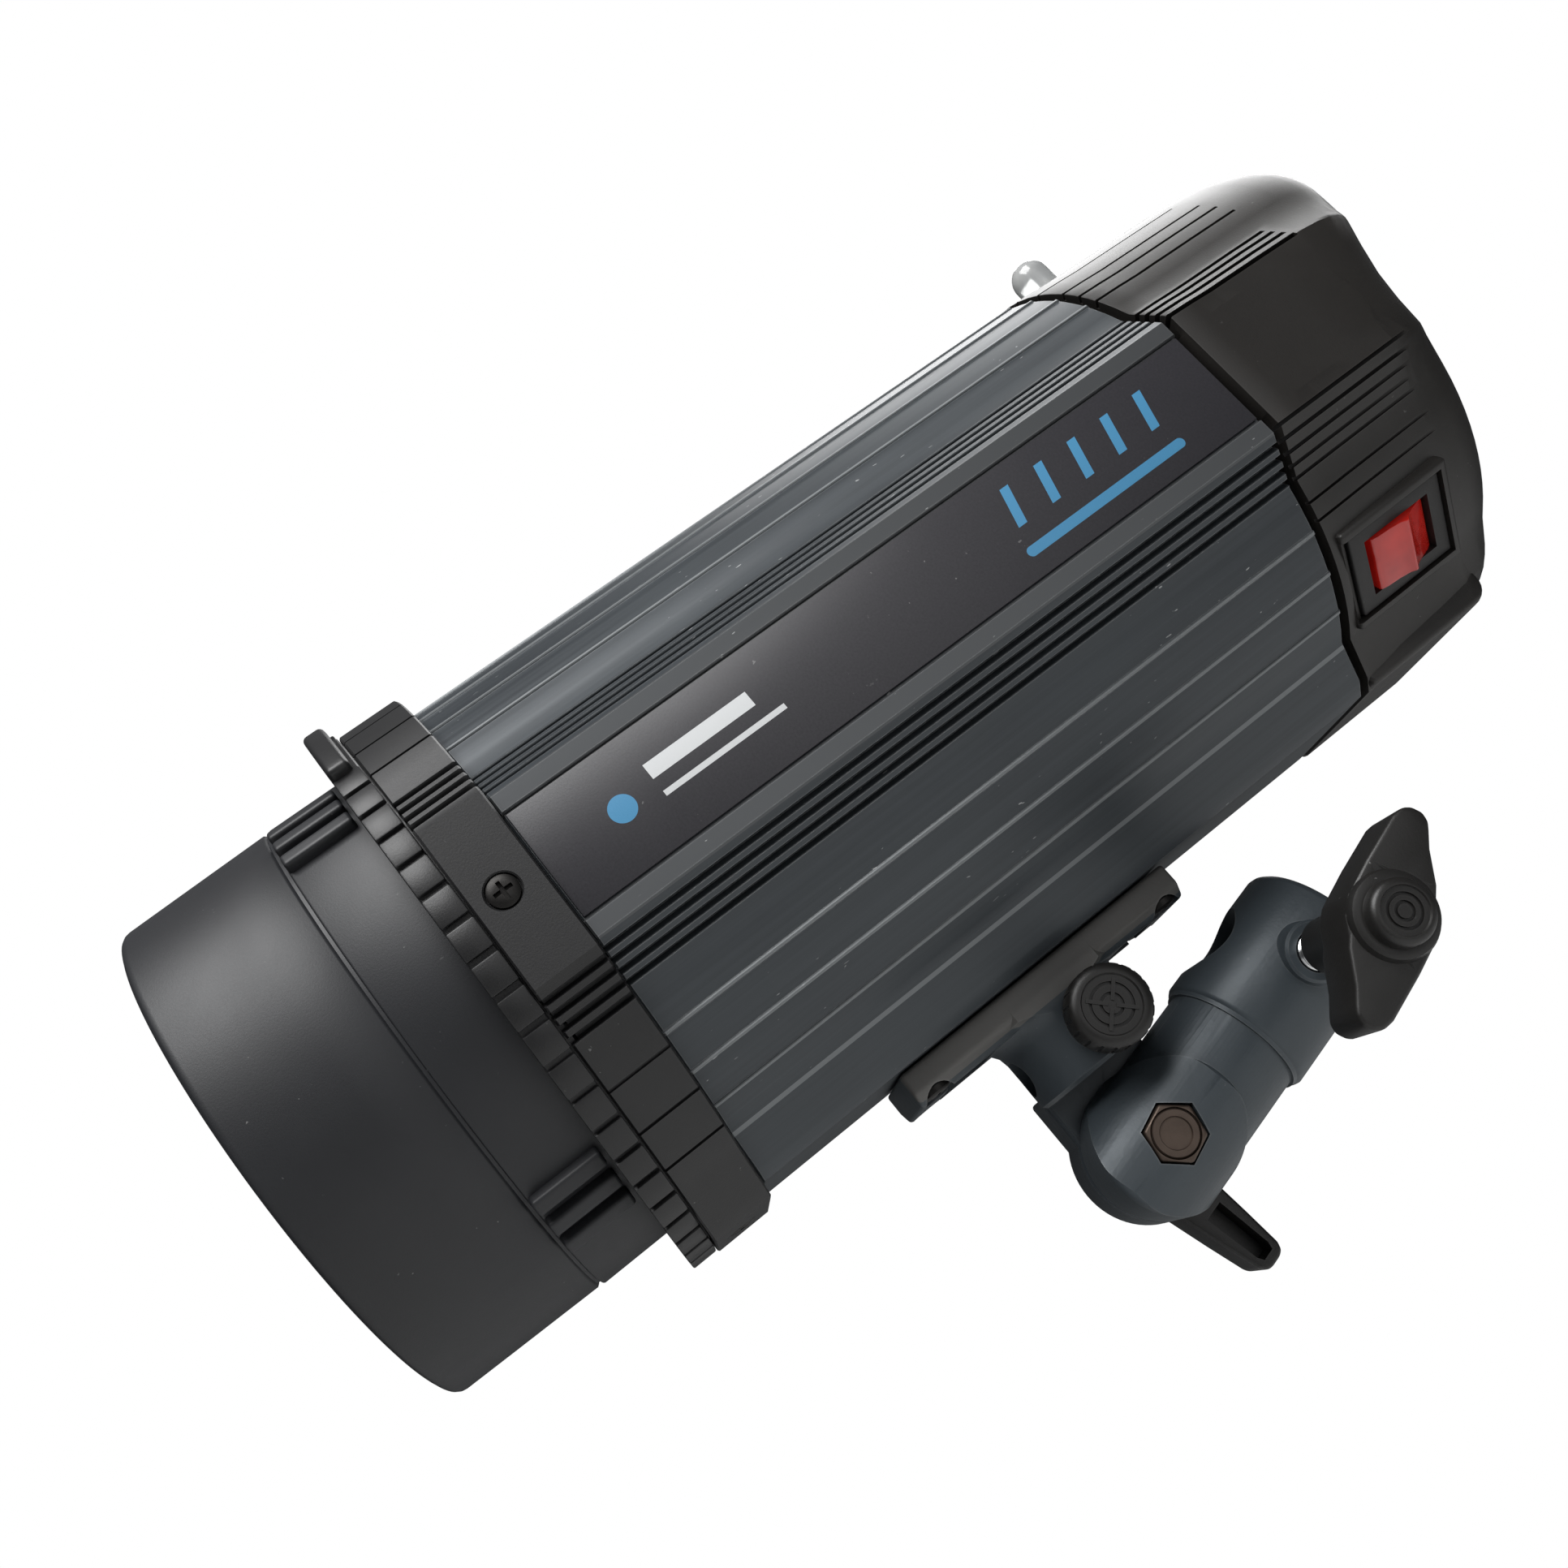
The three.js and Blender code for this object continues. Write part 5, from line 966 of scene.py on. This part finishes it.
W = math.radians(15.8)
W_LONG = ALONG * math.cos(W) + (RISE * math.cos(TWIST) + X * math.sin(TWIST)) * math.sin(W)
W_WIDE = L_OUT.cross(W_LONG)
half = [(0, 8.6), (8, 7.4), (17.4, 5.5), (19.6, 4.4), (20.5, 2.9), (20.4, 0.6), (19.2, -0.9), (17.6, -1.5),
        (14.4, -2.6), (11.3, -4.2), (8.6, -5.6), (6.4, -6.2), (3.4, -7.9)]
wings = slab("wings", half + [(-a, -b) for a, b in half], tuple(Vector(LOCK) + L_OUT * 38), W_LONG, W_WIDE, L_OUT * 12)
wings = round_edges(wings, 1.1, 3, 20)
hub = turned("hub", [(0, 38.4), (8.1, 38.4), (8.4, 39), (8.4, 50), (7.9, 51.1), (7.0, 51.5), (6.3, 51.5), (6.1, 52), (6.1, 53.4),
                     (5.6, 54.2), (5.0, 54.5), (4.6, 54.5), (4.4, 54.1), (0, 54.1)], LOCK, L_OUT, L_SIDE, 64)
shank = turned("shank", [(0, 22), (4.9, 22), (5.6, 22.8), (5.6, 36.4), (6.4, 38.6), (0, 38.6)], LOCK, L_OUT, L_SIDE, 48)
carve(hub, *face_rings([3.1, 1.6], 54.1, L_OUT, L_SIDE, LOCK))
join(wings, hub, shank)
carve(wings, rod("stud_room", 4.2, 18, 46, LOCK, L_OUT, L_SIDE, 40))
done(wings, "lock_wings", "stand_lock_handle", KNOB, ["stand_lock_handle"], smooth=38)

# ------------------------------------------------------------------ tilt lever

LEAN = math.radians(12.5)
DOWN = Y * math.sin(LEAN) - Z * math.cos(LEAN)
ACROSS = X.cross(DOWN)
blade = [(-6.2, 0), (-5.6, 12), (-4.4, 24), (-3.4, 32.6), (-2.6, 34), (-1.4, 34.5), (1.4, 34.5), (2.6, 34), (3.4, 32.6),
         (4.4, 24), (5.6, 12), (6.2, 0)]
lever = slab("lever", blade, tuple(Vector(PIVOT) + X * -27.6), ACROSS, DOWN, X * 11)
lever = round_edges(lever, 0.9, 3, 20)
hub = turned("hub", [(0, -27.6), (10.4, -27.6), (11.2, -27.2), (11.5, -26.4), (11.5, -14.6), (10.8, -13.8), (0, -13.8)],
             PIVOT, X, Z, 72)
join(lever, hub)
pocket = slab("pocket", [(-2.3, 19), (2.3, 19), (2.0, 31), (1.4, 32.4), (-1.4, 32.4), (-2.0, 31)],
              tuple(Vector(PIVOT) + X * -22.8), ACROSS, DOWN, X * 8)
carve(lever, pocket, rod("bolt_room", 3.3, -26.2, -10, PIVOT, X, Z, 32))
done(lever, "lever_arm", "tilt_lever", KNOB, ["tilt_lever"], smooth=38)
washer = turned("friction_washer", [(3.4, -2.1), (12.7, -2.1), (13, -1.9), (13, -0.9), (12.7, -0.7), (3.4, -0.7)], PIVOT, X, Z, 64,
                ring=True)
done(washer, "friction_washer", "stand", NYLON, ["tilt_washer"])

# ------------------------------------------------------------------ control panel at the back

panel = turned("panel_disc", [(0, 252.5), (49.2, 252.5), (49.5, 252.8), (49.5, 254.6), (49.1, 255), (46.4, 255), (46.1, 254.7),
                              (45.7, 254.7), (45.4, 255), (0, 255)], steps=128)


def through(radius, x, z, steps=40):
    return rod("hole", radius, 250, 258, (x, 0, z), Y, X, steps, 0.05)


def slot_shape(name, x, z, half_x, half_z, low, high, corner):
    """A rounded rectangle drawn out along the axis."""
    outline = []
    for cx, cz, a in ((1, 1, 0), (-1, 1, 90), (-1, -1, 180), (1, -1, 270)):
        outline += [(cx * (half_x - corner) + u, cz * (half_z - corner) + v) for u, v in arc(corner, a, a + 90, 4)]
    return slab(name, outline, (x, low, z), X, Z, Y * (high - low))


vents = []
for i in range(5):
    z = 22.5 + (i - 2) * 6.4
    vents.append(slot_shape("vent", 0, z, math.sqrt(18 ** 2 - (z - 22.5) ** 2), 1.3, 250, 258, 1.25))
carve(panel, gather(*vents), through(3.3, 22, -4), through(3.3, -22, -4), through(4.5, 0, -5), through(2.9, 0, -14.5),
      through(4.3, -22, -25), through(5.5, 22, -25), slot_shape("hole", 0, -30.5, 12.8, 8.9, 250, 258, 1),
      slot_shape("hole", -37.5, -4, 2.5, 5.8, 250, 258, 0.4))
screw_spots = [(44.5 * math.cos(math.radians(a)), 44.5 * math.sin(math.radians(a))) for a in (24, 156, 204, -24)]
for x, z in screw_spots:
    carve(panel, through(1.9, x, z, 24))
done(panel, "panel_disc", "light", PANEL, ["rear_panel"])
for i, (x, z) in enumerate(screw_spots):
    head = cross_screw("panel_screw_head_%d" % (i + 1), (x, 255.9, z), Y, X, 3.0, 0.8, 1.1)
    done(head, "panel_screw_head_%d" % (i + 1), "light", DARK_STEEL, ["panel_screw_%d" % (i + 1)])


def make_dial(name, x, node):
    base = (x, 0, -4)
    knob = turned(name, [(0, 252), (2.9, 252), (2.9, 255.8), (9.1, 255.8), (9.5, 256.2), (9.5, 257.4), (9.1, 258.2),
                         (8.1, 258.7), (7.9, 259.2), (7.7, 265.9), (7.2, 266.5), (6.4, 266.7), (0, 266.7)], base, Y, X, 72)
    flutes = [turn(rod("flute", 0.55, 259.6, 268, (x + 8.0, 0, -4), Y, X, 8, 0.1), math.radians(20 * i + 10), "Y", at(x, 260, -4))
              for i in range(18)]
    carve(knob, gather(*flutes))
    done(knob, name, node, KNOB, [node])
    mark = round_edges(brick(name + "_mark", (x - 0.6, 266.2, -2.6), (x + 0.6, 267.0, 3.0)), 0.15)
    done(mark, name + "_mark", node, PRINT, ())
    tick = round_edges(brick(name + "_ticks", (x - 0.3, 254.9, 7.2), (x + 0.3, 255.12, 8.8)), 0.04, 1)
    ticks = [tick] + [turn(copy_of(tick, name + "_ticks"), math.radians(a), "Y", at(x, 255, -4))
                      for a in (-135, -108, -81, -54, -27, 27, 54, 81, 108, 135)]
    done(gather(*ticks), name + "_ticks", "light", PRINT, ())


make_dial("output_knob", 22, "output_dial")
make_dial("lamp_knob", -22, "lamp_dial")

button = turned("flash_button", [(0, 250.2), (5.3, 250.2), (5.3, 250.9), (4.2, 251), (4.2, 256.9), (3.8, 257.4), (2.6, 257.6),
                                 (2.2, 257.4), (0, 257.3)], (0, 0, -5), Y, X, 48)
done(button, "flash_button", "test_button", RED_PAINTED_GLOW, ["test_button"])
lens = turned("ready_lens", [(0, 250.6), (2.6, 250.6), (2.6, 255.5), (2.3, 256.3), (1.6, 256.9), (0.8, 257.15), (0, 257.2)],
              (0, 0, -14.5), Y, X, 40)
done(lens, "ready_lens", "light", GREEN, ["ready_lamp"])
nut = [(5.0 * math.cos(math.radians(60 * i)), 5.0 * math.sin(math.radians(60 * i))) for i in range(6)]
jack = round_edges(slab("jack_nut", nut, (-22, 255.35, -25), X, Z, Y * 1.9), 0.3)
barrel = turned("jack_barrel", [(0, 243), (3.9, 243), (3.9, 257.3), (3.5, 257.8), (2.3, 257.8), (1.9, 257.4), (1.9, 246), (0, 246)],
                (-22, 0, -25), Y, X, 40)
jack = gather(jack, barrel)
done(jack, "jack_barrel", "light", NICKEL, ["sync_jack"])
holder = turned("fuse_socket", [(3.5, 245), (5.2, 245), (5.2, 255.3), (6.5, 255.3), (6.8, 255.6), (6.8, 256.2), (6.5, 256.5),
                                (3.5, 256.5)], (22, 0, -25), Y, X, 48, ring=True)
done(holder, "fuse_socket", "light", PANEL, ["fuse_holder"])
cap_piece = turned("fuse_screw_cap", [(0, 246), (3.1, 246), (3.1, 256.8), (6.0, 256.8), (6.2, 257), (6.2, 262), (5.6, 262.8), (5, 263),
                                      (0, 263)], (22, 0, -25), Y, X, 48)
carve(cap_piece, brick("slot", (17, 261.7, -25.7), (27, 265, -24.3)))
done(cap_piece, "fuse_screw_cap", "fuse_cap", KNOB, ["fuse_cap"])
inlet = round_edges(slot_shape("inlet_shell", 0, -30.5, 13.5, 9.6, 255.3, 257.5, 1.5), 0.4, 2)
join(inlet, slot_shape("inlet_body", 0, -30.5, 12.5, 8.6, 237, 256, 1))
mouth = [(-10.9, -7), (10.9, -7), (10.9, 3), (6.9, 7), (-6.9, 7), (-10.9, 3)]
carve(inlet, slab("mouth", mouth, (0, 239, -30.5), X, Z, Y * 25))
done(inlet, "inlet_shell", "light", PANEL, ["mains_inlet"])
pins = [round_edges(brick("pin", (x - 1, 238, -30.5 + z - 2), (x + 1, 252, -30.5 + z + 2)), 0.35) for x, z in
        ((-7, -1.6), (0, 2.2), (7, -1.6))]
done(gather(*pins), "inlet_pins", "light", NICKEL, ())
guide = slot_shape("slide_guide", -37.5, -4, 2.2, 5.5, 247.5, 254.4, 0.3)
carve(guide, slot_shape("room", -37.5, -4, 1.5, 4.8, 252, 258, 0.2))
done(guide, "slide_guide", "light", PANEL, ["slave_switch"])
slider = round_edges(brick("slide_grip", (-38.7, 252.3, -8.5), (-36.3, 256.6, -5.3)), 0.25)
carve(slider, *[brick("notch", (-40, 256.2, z - 0.2), (-35, 258, z + 0.2)) for z in (-7.7, -6.9, -6.1)])
done(slider, "slide_grip", "slave_switch_knob", WHITE, ["slave_switch_knob"])

# ------------------------------------------------------------------ finishes for the pieces kept as they are

kept = {
    "lamp_plate": WHITE, "lamp_socket": CERAMIC, "lamp_base": NICKEL, "modelling_bulb": FROSTED,
    "flash_socket_left": CERAMIC, "flash_socket_right": CERAMIC, "flash_tube": CLEAR, "chassis": ALUMINIUM,
    "main_board": BOARD, "flash_capacitor_left": SLEEVE, "flash_capacitor_right": SLEEVE,
    "transformer_core": FERRITE, "transformer_coil": WINDING, "heat_sink": ALUMINIUM, "trigger_coil": NYLON,
    "control_board": BOARD, "fan_frame": PANEL, "fan_rotor": PANEL, "rear_panel": PANEL, "output_dial": KNOB,
    "lamp_dial": KNOB, "test_button": RED_PAINTED_GLOW, "ready_lamp": GREEN, "sync_jack": NICKEL, "fuse_holder": PANEL,
    "fuse_cap": KNOB, "mains_inlet": PANEL, "slave_switch": PANEL, "slave_switch_knob": WHITE,
    "tilt_washer": NYLON, "umbrella_screw": STEEL, "umbrella_knob": KNOB, "tilt_bracket": CAST,
    "stand_receiver": CAST, "tilt_bolt": BROWN_STEEL, "tilt_lever": KNOB, "stand_lock_screw": CHROME,
    "stand_lock_handle": KNOB,
}
for name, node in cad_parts.items():
    finish = kept.get(name, DARK_STEEL)
    node.data.materials.clear()
    node.data.materials.append(finish)

# ------------------------------------------------------------------ floor, light and camera

rest()
bpy.ops.mesh.primitive_grid_add(x_subdivisions=4, y_subdivisions=4, size=2.4, location=at(0, 140, -720))
floor = bpy.context.object
floor.name = "studio_floor"
bpy.ops.object.transform_apply(location=True, rotation=True, scale=True)
paper = Finish("floor_paper")
pulp = paper.noise(3, 4)
paper.put(Base_Color=paper.mix(pulp, shade(243, 243, 242), shade(247, 247, 246)), Roughness=pulp * 0.1 + 0.8,
          Normal=paper.bump(paper.noise(400, 3), 0.05, 0.0002))
floor.data.materials.append(paper.material)

scene = bpy.context.scene
scene.view_settings.view_transform = "Standard"
scene.view_settings.look = "None"
world = bpy.data.worlds.new("studio")
world.use_nodes = True
sky = world.node_tree
sky.nodes["Background"].inputs[0].default_value = (0.95, 0.97, 1.0, 1)
sky.nodes["Background"].inputs[1].default_value = 0.07
seen = sky.nodes.new("ShaderNodeBackground")
seen.inputs[1].default_value = 1.0
seen.inputs[0].default_value = (1, 1, 1, 1)
ray = sky.nodes.new("ShaderNodeLightPath")
choice = sky.nodes.new("ShaderNodeMixShader")
sky.links.new(ray.outputs["Is Camera Ray"], choice.inputs[0])
sky.links.new(sky.nodes["Background"].outputs[0], choice.inputs[1])
sky.links.new(seen.outputs[0], choice.inputs[2])
sky.links.new(choice.outputs[0], sky.nodes["World Output"].inputs[0])
scene.world = world


def softbox(name, place, target, width, height, power, tint=(1, 1, 1)):
    rest()
    bpy.ops.object.light_add(type="AREA", location=at(*place))
    lamp = bpy.context.object
    lamp.name = name
    lamp.data.shape = "RECTANGLE"
    lamp.data.size = width
    lamp.data.size_y = height
    lamp.data.energy = power
    lamp.data.color = tint
    aim = at(*target) - at(*place)
    lamp.rotation_euler = aim.to_track_quat("-Z", "Y").to_euler()
    return lamp


softbox("key_above", (650, 0, 1000), (0, 140, 0), 0.9, 0.9, 23)
softbox("side_fill", (1300, 500, 60), (0, 140, 0), 0.9, 1.2, 2.6)
softbox("back_edge", (-500, 900, 700), (0, 140, 0), 0.8, 0.8, 9)
softbox("low_front", (700, -800, -300), (0, 140, -60), 0.9, 0.7, 0.7)

rest()
bpy.ops.object.camera_add()
camera = bpy.context.object
camera.name = "camera"
right = Vector((0.02336, 0.78238, -0.62236))
up = Vector((0.33007, 0.58159, 0.74351))
back = right.cross(up)
camera.matrix_world = Matrix.Translation(at(308.54, 48.80, -77.56)) @ Matrix((right, up, back)).transposed().to_4x4()
camera.data.sensor_width = 36
camera.data.angle = math.radians(53.55)
camera.data.clip_start = 0.01
scene.camera = camera

rest()
